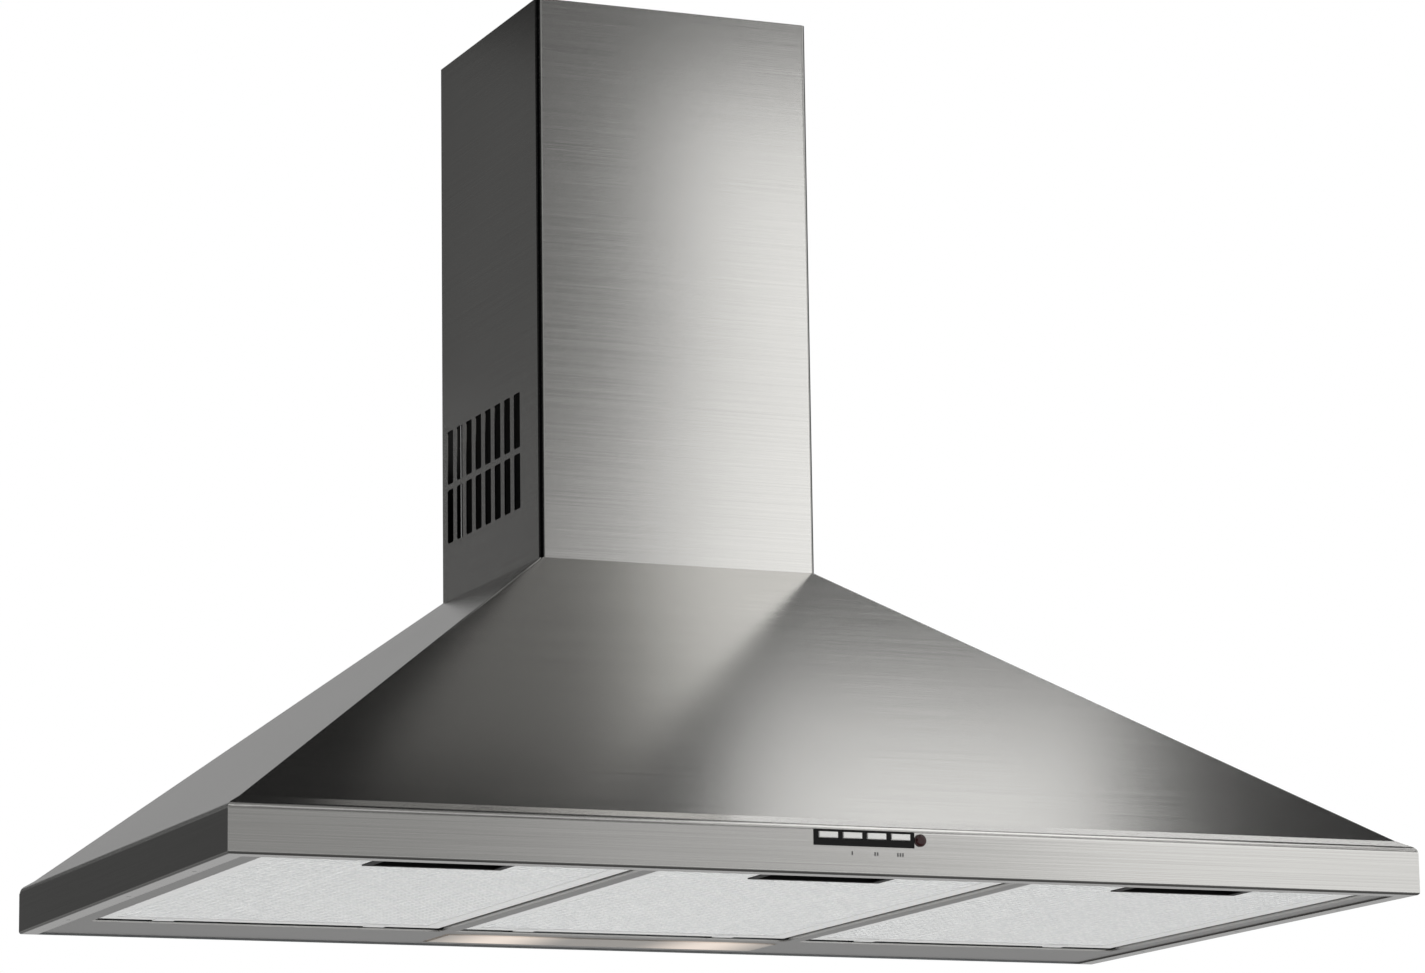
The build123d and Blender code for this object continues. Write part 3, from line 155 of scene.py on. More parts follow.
def brushed_steel(name, light, dark, squeeze, rough_low, rough_high, shaft=None):
    """Belt-brushed sheet, with painted shade inside the shaft if one is given."""
    mat, tree = finish(name)
    where = put(tree, "ShaderNodeTexCoord").outputs["Object"]
    grain = put(tree, "ShaderNodeMapping", i0=where, Scale=squeeze).outputs["Vector"]
    lines = put(
        tree, "ShaderNodeTexNoise", Vector=grain, Scale=1.0, Detail=6.0, Roughness=0.65,
    ).outputs["Fac"]
    clouds = put(tree, "ShaderNodeTexNoise", Vector=where, Scale=CLOUDS_PER_METRE, Detail=2.0).outputs["Fac"]
    both = put(
        tree, "ShaderNodeMath", {"operation": "MULTIPLY_ADD"}, i0=clouds, i1=CLOUD_SHARE, i2=lines,
    ).outputs[0]
    colour = put(
        tree, "ShaderNodeValToRGB", i0=both, stops=[(0.42, dark), (0.82, light)],
    ).outputs["Color"]
    rough = put(
        tree, "ShaderNodeMapRange", Value=lines, To_Min=rough_low, To_Max=rough_high,
    ).outputs["Result"]
    bump = put(
        tree, "ShaderNodeBump", Strength=SCRATCH_TILT, Distance=SCRATCH_DEPTH, Height=lines,
    ).outputs["Normal"]
    # painted shade: inside the cover the colour drops to a dark grey, where the slots show only shade
    if shaft:
        inside_shade_mask = inside_box(tree, where, *shaft)
        colour = put(
            tree, "ShaderNodeMix", {"data_type": "RGBA"}, i0=inside_shade_mask, i6=colour, i7=shade(INSIDE_PAINTED_SHADE),
        ).outputs[2]
    skin = put(
        tree, "ShaderNodeBsdfPrincipled", Base_Color=colour, Metallic=1.0, Roughness=rough, Normal=bump,
    )
    put(tree, "ShaderNodeOutputMaterial", Surface=skin.outputs[0])
    return mat


LEVEL = (1 / SCRATCH_RUN, 1 / SCRATCH_RUN, 1 / SCRATCH_GAP)
CROSS = (1 / SCRATCH_RUN, 1 / SCRATCH_GAP, 1 / SCRATCH_RUN)
SKIN = Vector((0.5 * MM, 0.5 * MM, 0))
cover_low, cover_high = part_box("chimney_cover")
shaft = (cover_low + SKIN, cover_high - SKIN)
steel = brushed_steel("stainless_430_belt_brushed", "#d2d1ce", "#c2c1be", LEVEL, 0.16, 0.25)
cover_steel = brushed_steel("stainless_430_chimney", "#d2d1ce", "#c2c1be", LEVEL, 0.12, 0.19, shaft)
tray_steel = brushed_steel("stainless_430_underside", "#cbcac8", "#bab9b7", CROSS, 0.24, 0.36)
print("steels", steel.name, cover_steel.name, tray_steel.name)


# %% [markdown]
# ## Zinc-coated sheet
#
# Hidden brackets are hot-dip galvanised. The zinc freezes into crystals, the spangle, 5 to 15 mm across,
# that catch the light one by one. A Voronoi texture with its cells at that size gives each crystal its
# own grey and its own roughness.

# %% Galvanised sheet
SPANGLE = 9 * MM


def galvanised(name):
    mat, tree = finish(name)
    where = put(tree, "ShaderNodeTexCoord").outputs["Object"]
    cells = put(tree, "ShaderNodeTexVoronoi", Vector=where, Scale=1 / SPANGLE).outputs["Color"]
    grey = put(tree, "ShaderNodeSeparateColor", i0=cells).outputs[0]
    colour = put(
        tree, "ShaderNodeValToRGB", i0=grey, stops=[(0.0, "#8b8f92"), (1.0, "#b4b7b8")],
    ).outputs["Color"]
    rough = put(tree, "ShaderNodeMapRange", Value=grey, To_Min=0.35, To_Max=0.55).outputs["Result"]
    skin = put(tree, "ShaderNodeBsdfPrincipled", Base_Color=colour, Metallic=1.0, Roughness=rough)
    put(tree, "ShaderNodeOutputMaterial", Surface=skin.outputs[0])
    return mat


zinc = galvanised("galvanised_steel_spangle")
print("zinc", zinc.name)


# %% [markdown]
# ## Moulded plastics, rubber and ceramic
#
# Blower housing, bezel and boxes are injection moulded, so they carry the spark-eroded grain of the tool:
# a fine pebble of 0.4 to 0.8 mm. One recipe covers them, with its own colour, gloss and grain each time.

# %% Moulded finishes
PEBBLE_DEPTH = 0.1 * MM
PATCHES_PER_METRE = 25.0
PEBBLE_GLOSS = 0.06


def moulded(name, light, dark, rough, grain_mm, depth=0.15, shine=0.5):
    mat, tree = finish(name)
    where = put(tree, "ShaderNodeTexCoord").outputs["Object"]
    pebble = put(
        tree, "ShaderNodeTexNoise", Vector=where, Scale=1 / (grain_mm * MM), Detail=3.0,
    ).outputs["Fac"]
    patch = put(tree, "ShaderNodeTexNoise", Vector=where, Scale=PATCHES_PER_METRE, Detail=2.0).outputs["Fac"]
    colour = put(
        tree, "ShaderNodeValToRGB", i0=patch, stops=[(0.3, dark), (0.7, light)],
    ).outputs["Color"]
    gloss = put(
        tree, "ShaderNodeMapRange", Value=pebble, To_Min=rough - PEBBLE_GLOSS, To_Max=rough + PEBBLE_GLOSS,
    ).outputs["Result"]
    bump = put(
        tree, "ShaderNodeBump", Strength=depth, Distance=PEBBLE_DEPTH, Height=pebble,
    ).outputs["Normal"]
    skin = put(
        tree, "ShaderNodeBsdfPrincipled", Base_Color=colour, Roughness=gloss, Normal=bump,
        Specular_IOR_Level=shine, IOR=1.5,
    )
    put(tree, "ShaderNodeOutputMaterial", Surface=skin.outputs[0])
    return mat


grey_pp = moulded("polypropylene_grey_moulded", "#4b4d4f", "#424446", 0.5, 0.8)
wheel_pp = moulded("polypropylene_black_moulded", "#2a2b2c", "#222324", 0.45, 0.8)
# partly painted shade: the bezel and the latch cups are black so that they stand for the shade under the
# keys and in the latch recesses; the latches themselves are black plastic
black_abs_and_shade = moulded("abs_black_and_painted_shade", "#0c0c0c", "#080808", 0.45, 0.5, 0.15, 0.25)
steatite = moulded("steatite_ceramic", "#e2ddd0", "#d5cfc1", 0.55, 0.4)
film_can = moulded("capacitor_can_pbt", "#c9c9c5", "#bcbcb7", 0.4, 0.6)
nbr = moulded("nitrile_rubber", "#1d1d1d", "#171717", 0.7, 0.6)
print("moulded", [mat.name for mat in (grey_pp, wheel_pp, black_abs_and_shade, steatite, film_can, nbr)])


# %% [markdown]
# ## Painted motor can, bright screws, brass caps
#
# The motor's can is deep drawn and stove painted, with a slight orange peel of about 1.5 mm. Screws and
# pins are zinc plated and nearly bright. The bulbs stand in thin brass caps. The keys carry a silver paint
# whose aluminium flakes shine like a metal, mixed with a pale binder. The filter frames are satin anodised.
# Their hinge tongues, behind the rear edge, sit in the shade of the slot, and that shade is painted as a
# dark grey.

# %% Metal finishes
PEEL_DEPTH = 0.1 * MM
PEEL_TILT = 0.1
PEEL_GLOSS = 0.05
# painted shade on the hinge tongues, which sit in the slot's shade
TONGUE_PAINTED_SHADE = "#242424"


def bright_metal(name, light, dark, rough, metal=1.0, peel_mm=1.5, shade_from=None):
    """A coated or bare metal, with painted shade past the depth shade_from if one is given."""
    mat, tree = finish(name)
    where = put(tree, "ShaderNodeTexCoord").outputs["Object"]
    peel = put(
        tree, "ShaderNodeTexNoise", Vector=where, Scale=1 / (peel_mm * MM), Detail=2.0,
    ).outputs["Fac"]
    colour = put(
        tree, "ShaderNodeValToRGB", i0=peel, stops=[(0.3, dark), (0.7, light)],
    ).outputs["Color"]
    # painted shade: past the depth given, the colour drops to a dark grey
    if shade_from:
        depth = put(tree, "ShaderNodeSeparateXYZ", i0=where).outputs["Y"]
        in_tongue_shade = put(tree, "ShaderNodeMath", {"operation": "GREATER_THAN"}, i0=depth, i1=shade_from).outputs[0]
        colour = put(
            tree, "ShaderNodeMix", {"data_type": "RGBA"}, i0=in_tongue_shade, i6=colour, i7=shade(TONGUE_PAINTED_SHADE),
        ).outputs[2]
    gloss = put(
        tree, "ShaderNodeMapRange", Value=peel, To_Min=rough - PEEL_GLOSS, To_Max=rough + PEEL_GLOSS,
    ).outputs["Result"]
    bump = put(
        tree, "ShaderNodeBump", Strength=PEEL_TILT, Distance=PEEL_DEPTH, Height=peel,
    ).outputs["Normal"]
    skin = put(
        tree, "ShaderNodeBsdfPrincipled", Base_Color=colour, Metallic=metal, Roughness=gloss, Normal=bump,
    )
    put(tree, "ShaderNodeOutputMaterial", Surface=skin.outputs[0])
    return mat


motor_paint = bright_metal("stove_enamel_grey", "#8d9092", "#858789", 0.38, 0.0)
# painted shade: the plate behind the chimney's slots is black so that it stands for the shade inside the
# chimney
plate_shade_black = bright_metal("black_enamel_painted_shade", "#161616", "#101010", 0.5, 0.0)
plated = bright_metal("zinc_plated_bright", "#c6c7c8", "#b2b3b5", 0.25)
brass = bright_metal("brass_cap", "#c9a85a", "#b8974c", 0.28)
silver_paint = bright_metal("abs_silver_painted", "#f7f7f5", "#efefec", 0.3, 0.7, 0.6)
TONGUE = 9.6 * MM
tongue_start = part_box("filter_frame_centre")[1].y - TONGUE
# the hinge tongues get painted shade from tongue_start back
aluminium = bright_metal("aluminium_satin_anodised", "#dcdcda", "#d4d5d5", 0.5, 0.1, 2.0, tongue_start)
print("filter tongues start at y", round(tongue_start, 4))


# %% [markdown]
# ## Aluminium mesh pad
#
# A grease filter is a stack of expanded aluminium foil. Light goes in, bounces between the layers and
# comes back out almost without direction, so the stack looks like a pale matt cloth rather than a mirror.
# The pad behind the lattice therefore mixes a metal with a matt white, under a crumpled pattern of 3.5 mm.

# %% Mesh pad
CRUMPLE = 3.5 * MM
CRUMPLE_DEPTH = 0.5 * MM


def foil_stack(name):
    mat, tree = finish(name)
    where = put(tree, "ShaderNodeTexCoord").outputs["Object"]
    weave = put(tree, "ShaderNodeTexVoronoi", Vector=where, Scale=1 / CRUMPLE).outputs["Distance"]
    colour = put(
        tree, "ShaderNodeValToRGB", i0=weave, stops=[(0.0, "#f2f2f1"), (0.7, "#e3e4e4")],
    ).outputs["Color"]
    bump = put(tree, "ShaderNodeBump", Strength=0.15, Distance=CRUMPLE_DEPTH, Height=weave).outputs["Normal"]
    skin = put(
        tree, "ShaderNodeBsdfPrincipled", Base_Color=colour, Metallic=0.1, Roughness=0.6, Normal=bump,
    )
    put(tree, "ShaderNodeOutputMaterial", Surface=skin.outputs[0])
    return mat


foil = foil_stack("aluminium_foil_stack")
print("mesh pad", foil.name)


# %% [markdown]
# ## Lamp diffuser, bulbs and pilot lens
#
# The lamp cover is frosted acrylic in front of two warm filament bulbs. The bulbs' light through the cover
# is painted on it as a glow near each bulb, and in between it only looks milky, so the painted glow fades
# with the distance to the bulb's place along the cover.
# The pilot lens is clear red polycarbonate with nothing lit behind it, which makes it look almost black.

# %% Lamp and pilot finishes
BULB_X = 86 * MM
MILKY_SHARE = 0.05


def frosted(name, colour_hex, glow_hex, glow, reach):
    mat, tree = finish(name)
    where = put(tree, "ShaderNodeTexCoord").outputs["Object"]
    axes = put(tree, "ShaderNodeSeparateXYZ", i0=where)
    side = put(tree, "ShaderNodeMath", {"operation": "ABSOLUTE"}, i0=axes.outputs["X"]).outputs[0]
    away = put(tree, "ShaderNodeMath", {"operation": "SUBTRACT"}, i0=side, i1=BULB_X).outputs[0]
    off = put(tree, "ShaderNodeMath", {"operation": "ABSOLUTE"}, i0=away).outputs[0]
    # painted light: the cover glows by emission near each bulb, in place of the bulbs' light passing through
    # it
    near = put(
        tree, "ShaderNodeMapRange", {"interpolation_type": "SMOOTHSTEP"},
        Value=off, From_Min=reach, From_Max=0.0, To_Min=MILKY_SHARE * glow, To_Max=glow,
    ).outputs["Result"]
    skin = put(
        tree, "ShaderNodeBsdfPrincipled", Base_Color=shade(colour_hex), Roughness=0.35, IOR=1.49,
        Emission_Color=shade(glow_hex), Emission_Strength=near,
    )
    put(tree, "ShaderNodeOutputMaterial", Surface=skin.outputs[0])
    return mat


# painted light: the cover's glow stands for the bulbs' light shining through it
diffuser = frosted("acrylic_frosted", "#8b8883", "#ffebdb", 0.55, 60 * MM)
bulb_glass = frosted("bulb_glass_frosted", "#f2e9d8", "#ffd9a6", 3.0, 90 * MM)
pilot_red = moulded("polycarbonate_red", "#3a0608", "#2a0405", 0.15, 2.0, 0.02, 0.6)
print("lamp", diffuser.name, bulb_glass.name, pilot_red.name)


# %% [markdown]
# ## Give every solid its finish
#
# Each solid of the frame keeps its shape and gets one of the finishes above.

# %% Assign finishes
finishes = {
    steel: ["canopy_shell", "chimney_extension"],
    cover_steel: ["chimney_cover"],
    tray_steel: ["filter_tray", "tray_front_rail"],
    zinc: [
        "back_panel", "extension_bracket", "blower_hanger", "motor_spider", "lamp_tray", "capacitor_clip",
    ],
    # painted shade: the plate's black stands for the shade inside the chimney
    plate_shade_black: ["chimney_plate"],
    plated: ["tray_screws", "motor_screws", "hanger_screws", "damper_pin", "motor_shaft"],
    aluminium: ["filter_frame_left", "filter_frame_centre", "filter_frame_right"],
    foil: ["filter_mesh_left", "filter_mesh_centre", "filter_mesh_right"],
    # partly painted shade: the black bezel and latch cups stand for the shade under the keys and in the
    # latch recesses
    black_abs_and_shade: [
        "control_bezel", "filter_latch_left", "filter_latch_centre", "filter_latch_right", "latch_cup_left",
        "latch_cup_centre", "latch_cup_right",
    ],
    silver_paint: ["button_light", "button_speed_1", "button_speed_2", "button_speed_3"],
    pilot_red: ["pilot_lens"],
    diffuser: ["lamp_cover"],
    bulb_glass: ["bulb_left", "bulb_right"],
    brass: ["bulb_cap_left", "bulb_cap_right"],
    steatite: ["lamp_holder_left", "lamp_holder_right"],
    grey_pp: [
        "switch_block", "blower_scroll", "blower_lid", "inlet_guard", "outlet_collar", "flap_front",
        "flap_back", "terminal_box", "terminal_lid", "cable_gland",
    ],
    wheel_pp: ["impeller"],
    motor_paint: ["motor_body"],
    nbr: ["rubber_mounts"],
    film_can: ["capacitor"],
}
for mat, names in finishes.items():
    for name in names:
        nodes[name].data.materials.clear()
        nodes[name].data.materials.append(mat)
bare = [n for n in nodes if not any(n in names for names in finishes.values())]
print("finished", len(nodes) - len(bare), "bare", bare)


# %% [markdown]
# ## The open lattice of each filter
#
# Expanded metal is a sheet that is slit and pulled, so its holes are diamonds. Here a grid is turned by
# 45 degrees and stretched, trimmed with bisecting planes to the filter's window and round the latch cup,
# and each cell is inset and emptied. What stays are the strands, which then get the foil's thickness.

# %% Filter lattices
CELL_LONG = 14 * MM
CELL_SHORT = 8 * MM
STRAND = 1.1 * MM
FOIL = 0.3 * MM
GRID_SPARE = 1.5
LIP = 13 * MM
CUP_ROOM = Vector((1 * MM, 1 * MM, 0))
PAD_GAP = 0.1 * MM


def piece_from(name, mesh):
    """Turns a bmesh into an object of the scene."""
    data = bpy.data.meshes.new(name)
    mesh.to_mesh(data)
    mesh.free()
    piece = bpy.data.objects.new(name, data)
    bpy.context.collection.objects.link(piece)
    return piece


def lattice(name, low, high, level, hole_low, hole_high):
    """Diamond strands that fill a window between two corners at the level given, but leave a hole."""
    mesh = bmesh.new()
    middle = (low + high) / 2
    span = max((high.x - low.x) / CELL_LONG, (high.y - low.y) / CELL_SHORT) * GRID_SPARE
    count = int(span) + 1
    bmesh.ops.create_grid(mesh, x_segments=count, y_segments=count, size=count / 2)
    bmesh.ops.rotate(mesh, verts=mesh.verts, cent=(0, 0, 0), matrix=Matrix.Rotation(math.pi / 4, 3, "Z"))
    spread = (CELL_LONG / math.sqrt(2), CELL_SHORT / math.sqrt(2), 1)
    bmesh.ops.scale(mesh, verts=mesh.verts, vec=spread)
    bmesh.ops.translate(mesh, verts=mesh.verts, vec=(middle.x, middle.y, level))
    for edge, way in ((low, (-1, 0, 0)), (low, (0, -1, 0)), (high, (1, 0, 0)), (high, (0, 1, 0))):
        parts = mesh.verts[:] + mesh.edges[:] + mesh.faces[:]
        bmesh.ops.bisect_plane(
            mesh, geom=parts, plane_co=(edge.x, edge.y, 0), plane_no=way, clear_outer=True,
        )
    for edge, way in ((hole_low, (1, 0, 0)), (hole_high, (1, 0, 0)), (hole_high, (0, 1, 0))):
        parts = mesh.verts[:] + mesh.edges[:] + mesh.faces[:]
        bmesh.ops.bisect_plane(mesh, geom=parts, plane_co=(edge.x, edge.y, 0), plane_no=way)
    spots = [(f, f.calc_center_median()) for f in mesh.faces]
    cup = [f for f, spot in spots if hole_low.x < spot.x < hole_high.x and spot.y < hole_high.y]
    bmesh.ops.delete(mesh, geom=cup, context="FACES")
    cells = mesh.faces[:]
    bmesh.ops.inset_individual(mesh, faces=cells, thickness=STRAND / 2, use_even_offset=True)
    bmesh.ops.delete(mesh, geom=[f for f in cells if f.is_valid], context="FACES")
    bmesh.ops.solidify(mesh, geom=mesh.faces[:], thickness=FOIL)
    return piece_from(name, mesh)


for side in ("left", "centre", "right"):
    frame_low, frame_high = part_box("filter_frame_" + side)
    pad_low, pad_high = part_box("filter_mesh_" + side)
    cup_low, cup_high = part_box("latch_cup_" + side)
    low = Vector((frame_low.x + LIP, frame_low.y + LIP, 0))
    high = Vector((frame_high.x - LIP, pad_high.y - LIP, 0))
    piece = lattice(
        "filter_lattice_" + side, low, high, pad_low.z - PAD_GAP, cup_low - CUP_ROOM, cup_high + CUP_ROOM,
    )
    piece.data.materials.append(foil)
    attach(piece, "filter_" + side)
    print(piece.name, len(piece.data.polygons), "faces")


# %% [markdown]
# ## Marks under the keys
#
# Below each speed key the band carries a small printed mark: one, two or three bars. They are thin
# raised prints, so each bar is a flat block a tenth of a millimetre proud of the band.

# %% Key marks
MARK_Z = 15.2 * MM
MARK_PITCH = 1.9 * MM
MARK_WIDTH = 1.1 * MM
MARK_HEIGHT = 2.6 * MM
MARK_PROUD = 0.1 * MM
ink = moulded("screen_print_grey", "#6d6d6c", "#646463", 0.5, 0.5)
band_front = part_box("canopy_shell")[0].y
for count, name in enumerate(("button_speed_1", "button_speed_2", "button_speed_3"), start=1):
    key_low, key_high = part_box(name)
    middle = (key_low.x + key_high.x) / 2
    mesh = bmesh.new()
    for i in range(count):
        bar = bmesh.ops.create_cube(mesh, size=1.0)["verts"]
        bmesh.ops.scale(mesh, verts=bar, vec=(MARK_WIDTH, MARK_PROUD, MARK_HEIGHT))
        x = middle + (i - (count - 1) / 2) * MARK_PITCH
        bmesh.ops.translate(mesh, verts=bar, vec=(x, band_front - MARK_PROUD / 2, MARK_Z))
    piece = piece_from("key_mark_%d" % count, mesh)
    piece.data.materials.append(ink)
    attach(piece, "hood")
    print(piece.name, "bars", count)


# %% [markdown]
# ## Studio
#
# Steel shows what stands around it. Seen from the left and below, every face of the hood mirrors a slice of
# the room to the right of the middle, or the wall behind. That slice is dark overhead, with a pale belt just
# below eye level: the canopy's slope mirrors the dark ceiling and the flat underside mirrors the pale belt.
# The wings of the room on both sides are pale, so that the steel also reads well from other sides, but for
# a dark belt on the left that draws the black line on the chimney's rounded edge, and a dark patch where
# the canopy looks by way of the chimney's left side. Rays that go straight from the lens to the background
# see plain white.

# %% Tones of the room
scene = bpy.context.scene
scene.view_settings.view_transform = "Standard"
world = bpy.data.worlds.new("studio_room")
scene.world = world
world.use_nodes = True
room = world.node_tree
room.nodes.clear()
way = put(room, "ShaderNodeTexCoord").outputs["Generated"]
axes = put(room, "ShaderNodeSeparateXYZ", i0=way)
height = put(
    room, "ShaderNodeMapRange", Value=axes.outputs["Z"], From_Min=-1.0, From_Max=1.0,
).outputs["Result"]
sideways = put(
    room, "ShaderNodeMapRange", Value=axes.outputs["X"], From_Min=-1.0, From_Max=1.0,
).outputs["Result"]
tone = put(
    room, "ShaderNodeValToRGB", i0=height, stops=[
        (0.0, "#4a4a4a"), (0.36, "#7c7c7c"), (0.44, "#d0d0d0"), (0.50, "#8c8c8c"), (0.62, "#6a6a6a"),
        (0.80, "#262626"), (1.0, "#1c1c1c"),
    ],
).outputs["Color"]
across = put(
    room, "ShaderNodeValToRGB", i0=sideways,
    stops=[(0.15, "#202020"), (0.28, "#7c7c7c"), (0.65, "#ffffff")],
).outputs["Color"]
lit_tone = put(
    room, "ShaderNodeMix", {"data_type": "RGBA", "blend_type": "MULTIPLY"}, i0=1.0, i6=tone, i7=across,
).outputs[2]
left_tone = put(
    room, "ShaderNodeValToRGB", i0=height, stops=[
        (0.0, "#6e6e6e"), (0.42, "#b4b4b4"), (0.48, "#b4b4b4"), (0.51, "#202020"), (0.69, "#202020"),
        (0.75, "#e4e4e4"), (1.0, "#f4f4f4"),
    ],
).outputs["Color"]
right_tone = put(
    room, "ShaderNodeValToRGB", i0=height,
    stops=[(0.0, "#6e6e6e"), (0.42, "#b4b4b4"), (0.60, "#d0d0d0"), (1.0, "#f4f4f4")],
).outputs["Color"]
print("room", world.name)

# %% [markdown]
# The tones are joined by where a ray goes: the left wing takes over to the left, unless the ray goes to the
# wall behind or close to the dark patch, and the right wing takes over far to the right.

# %% Wings of the room
DARK_PATCH = Vector((-0.33, 0.376, 0.866))
leftward = put(
    room, "ShaderNodeMapRange", Value=axes.outputs["X"], From_Min=0.08, From_Max=-0.12,
).outputs["Result"]
forward = put(
    room, "ShaderNodeMapRange", Value=axes.outputs["Y"], From_Min=0.82, From_Max=0.6,
).outputs["Result"]
close = put(
    room, "ShaderNodeVectorMath", {"operation": "DOT_PRODUCT"}, i0=way, i1=DARK_PATCH,
).outputs["Value"]
clear = put(room, "ShaderNodeMapRange", Value=close, From_Min=0.985, From_Max=0.945).outputs["Result"]
left_front = put(room, "ShaderNodeMath", {"operation": "MULTIPLY"}, i0=leftward, i1=forward).outputs[0]
left_part = put(room, "ShaderNodeMath", {"operation": "MULTIPLY"}, i0=left_front, i1=clear).outputs[0]
right_part = put(
    room, "ShaderNodeMapRange", Value=axes.outputs["X"], From_Min=0.62, From_Max=0.8,
).outputs["Result"]
with_left = put(
    room, "ShaderNodeMix", {"data_type": "RGBA"}, i0=left_part, i6=lit_tone, i7=left_tone,
).outputs[2]
all_round = put(
    room, "ShaderNodeMix", {"data_type": "RGBA"}, i0=right_part, i6=with_left, i7=right_tone,
).outputs[2]
lit = put(room, "ShaderNodeBackground", Color=all_round, Strength=1.0).outputs[0]
plain = put(room, "ShaderNodeBackground", Color=shade("#ffffff"), Strength=1.0).outputs[0]
seen = put(room, "ShaderNodeLightPath").outputs["Is Camera Ray"]
mixed = put(room, "ShaderNodeMixShader", i0=seen, i1=lit, i2=plain).outputs[0]
put(room, "ShaderNodeOutputWorld", Surface=mixed)
print("room nodes", len(room.nodes))

# %% [markdown]
# The floor lies far below, as under a hood on a wall, so that the hood can also be seen steeply from below.
# The steel doesn't mirror it, and it sends no light back.

# %% Floor
FLOOR_Z = -12.0
FLOOR_HALF = 60.0
mesh = bmesh.new()
bmesh.ops.create_grid(mesh, x_segments=1, y_segments=1, size=FLOOR_HALF)
bmesh.ops.translate(mesh, verts=mesh.verts, vec=(0, 0, FLOOR_Z))
floor = piece_from("floor", mesh)
floor.data.materials.append(moulded("floor_matt_white", "#f4f4f3", "#f0f0ef", 0.8, 5.0, 0.0))
floor.visible_diffuse = False
floor.visible_glossy = False
floor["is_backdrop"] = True
print("floor at z", FLOOR_Z)


# %% [markdown]
# ## Softboxes
#
# Softboxes draw each patch of light, and each stands where one face mirrors it:
#
# - the front box shows on the right of the chimney, and the foot box adds to it near the chimney's foot
# - the low, mid and fill boxes overlap to grade the band
# - the sill, wall and crown boxes fill the rounded edge of the band, which sweeps over the whole front
# - the front top box shows on the canopy by way of the chimney, and the overhead box in its middle
# - a narrow strip draws the bright line on the shoulder
# - the rear boxes light the left slope and the left side of the chimney at a grazing angle
# - the box below lights the matt filters only, since mirrors don't see it, and one more lights the floor
#
# Each is set by its brightness, so its power follows from its area.

# %% Lamps
FLOOR_BOX_RISE = 2.1


def softbox(name, place, aim, width, height, brightness):
    data = bpy.data.lights.new(name, "AREA")
    data.shape = "RECTANGLE"
    data.size = width
    data.size_y = height
    data.energy = brightness * math.pi * width * height
    lamp = bpy.data.objects.new(name, data)
    lamp.location = place
    lamp.rotation_euler = (Vector(aim) - Vector(place)).to_track_quat("-Z", "Y").to_euler()
    lamp.visible_camera = False
    bpy.context.collection.objects.link(lamp)
    return lamp


softbox("front_box", (1.85, -2.6, 0.92), (1.85, 0.0, 0.92), 1.74, 0.94, 1.22)
softbox("front_foot_box", (1.02, -2.6, 0.76), (1.02, 0.0, 0.76), 0.32, 0.30, 0.30)
softbox("front_low_box", (1.97, -2.6, 0.05), (1.97, 0.0, 0.05), 1.65, 0.8, 0.84)
softbox("front_mid_box", (1.70, -2.6, 0.05), (1.70, 0.0, 0.05), 2.2, 0.8, 0.40)
softbox("front_fill_box", (1.35, -2.6, 0.05), (1.35, 0.0, 0.05), 2.9, 0.8, 0.15)
softbox("front_sill_box", (0.50, -2.6, 0.56), (0.50, 0.0, 0.56), 1.6, 0.28, 0.32)
softbox("front_wall_box", (0.125, -2.6, 1.2), (0.125, 0.0, 1.2), 0.85, 1.5, 0.26)
softbox("crown_box", (1.5, -2.15, 1.85), (1.5, -0.5, 0.0), 1.6, 0.6, 0.8)
softbox("crown_mid_box", (0.45, -2.15, 1.85), (0.45, -0.5, 0.0), 0.6, 0.6, 0.6)
softbox("crown_left_box", (0.15, -1.5, 2.0), (0.15, -1.5, 0.0), 0.9, 2.0, 0.26)
softbox("crown_right_box", (2.0, -0.95, 2.0), (2.0, -0.95, 0.0), 1.0, 1.3, 0.5)
softbox("front_top_box", (1.118, -1.1, 2.0), (1.118, -1.1, 0.0), 0.765, 1.2, 1.6)
softbox("overhead_box", (0.96, 0.12, 1.82), (0.96, 0.12, 0.0), 0.48, 0.45, 1.4)
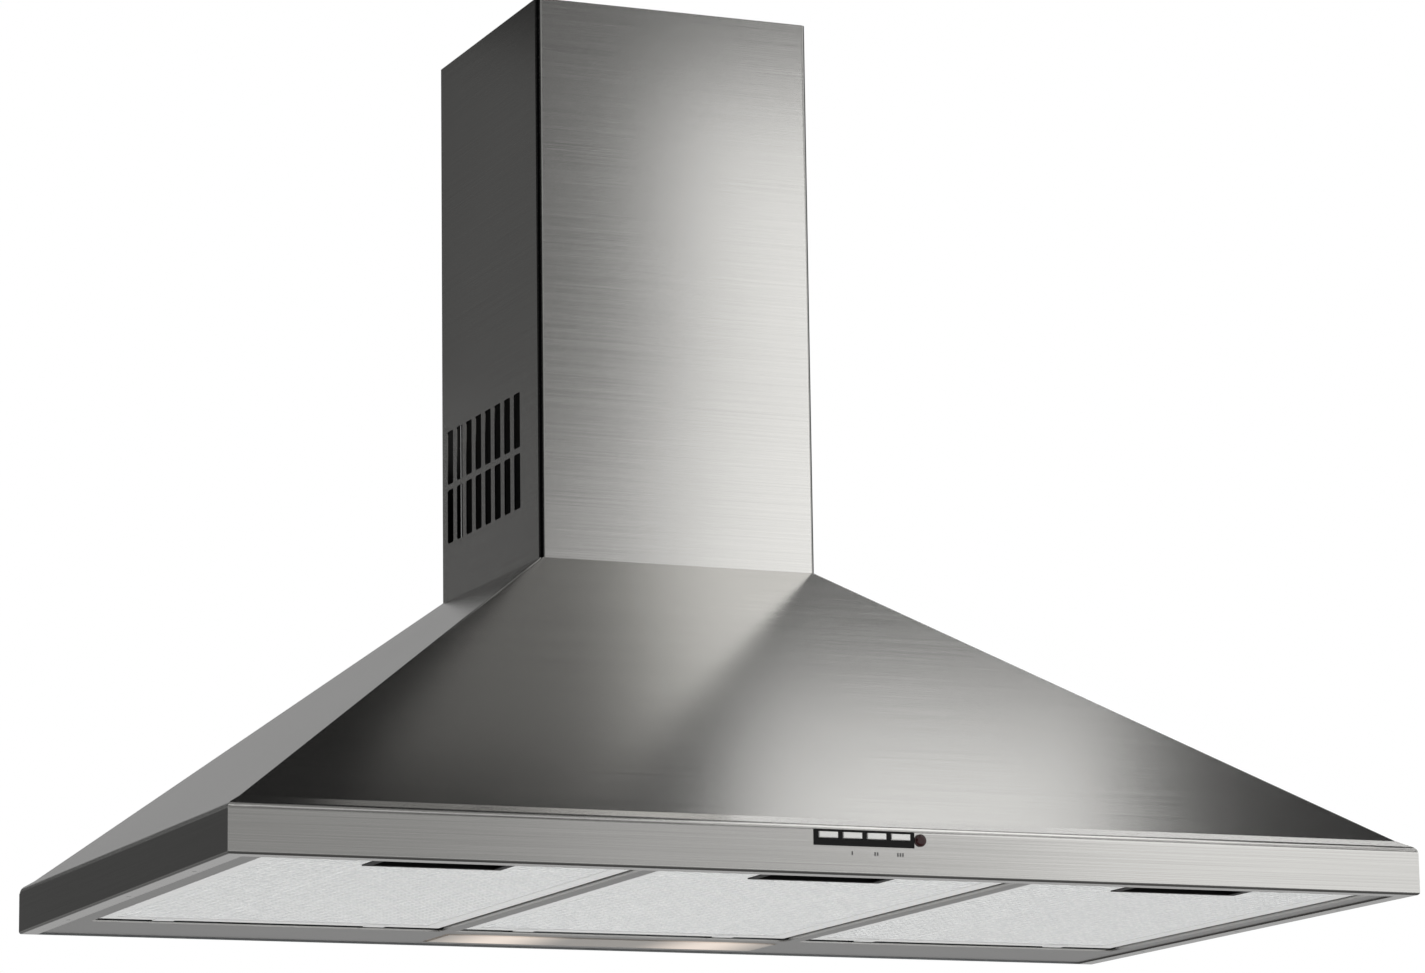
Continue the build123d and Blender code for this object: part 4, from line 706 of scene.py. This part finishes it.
softbox("strip_box", (1.225, 0.95, 1.82), (1.225, 0.3, 0.0), 1.35, 0.22, 2.0)
softbox("rear_box", (0.55, 2.0, 0.85), (0.55, 0.0, 0.85), 2.0, 1.4, 0.24)
softbox("rear_left_box", (-1.06, 2.0, 0.92), (-1.06, 0.0, 0.92), 0.56, 0.86, 0.07)
softbox("rear_foot_box", (-0.87, 2.0, 0.70), (-0.87, 0.0, 0.70), 0.2, 0.4, 0.40)
under = softbox("under_box", (0.0, -0.3, -0.9), (0.0, -0.3, 0.0), 3.0, 3.0, 1.25)
under.visible_glossy = False
softbox("floor_box", (0.0, 0.0, FLOOR_Z + FLOOR_BOX_RISE), (0.0, 0.0, FLOOR_Z), 30.0, 30.0, 0.3)
print("lamps", len(bpy.data.lights))


# %% [markdown]
# ## Camera
#
# The photograph was taken from the left and below with a long lens. The place, the turn and the lens
# were fitted to the corners of the band, the canopy and the chimney.

# %% Camera
AZIMUTH = math.radians(-22.91)
ELEVATION = math.radians(-11.02)
ROLL = math.radians(-0.82)
AIM = Vector((0.0341, -0.200, 0.3344))
DISTANCE = 3.872
PHOTO_WIDTH = 1425
FOCAL_PIXELS = 5084
back = Vector((
    math.sin(AZIMUTH) * math.cos(ELEVATION), -math.cos(AZIMUTH) * math.cos(ELEVATION), math.sin(ELEVATION),
))
level_right = Vector((math.cos(AZIMUTH), math.sin(AZIMUTH), 0))
level_up = back.cross(level_right)
right = level_right * math.cos(ROLL) + level_up * math.sin(ROLL)
up = level_up * math.cos(ROLL) - level_right * math.sin(ROLL)
lens = bpy.data.cameras.new("camera")
lens.sensor_width = 36.0
lens.lens = FOCAL_PIXELS / PHOTO_WIDTH * lens.sensor_width
camera = bpy.data.objects.new("camera", lens)
turn = Matrix((right, up, back)).transposed().to_4x4()
camera.matrix_world = Matrix.Translation(AIM + back * DISTANCE) @ turn
bpy.context.collection.objects.link(camera)
bpy.context.scene.camera = camera
print("lens", round(lens.lens, 1), "mm")

low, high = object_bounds()
print("visual", [round(v, 4) for v in low], [round(v, 4) for v in high])
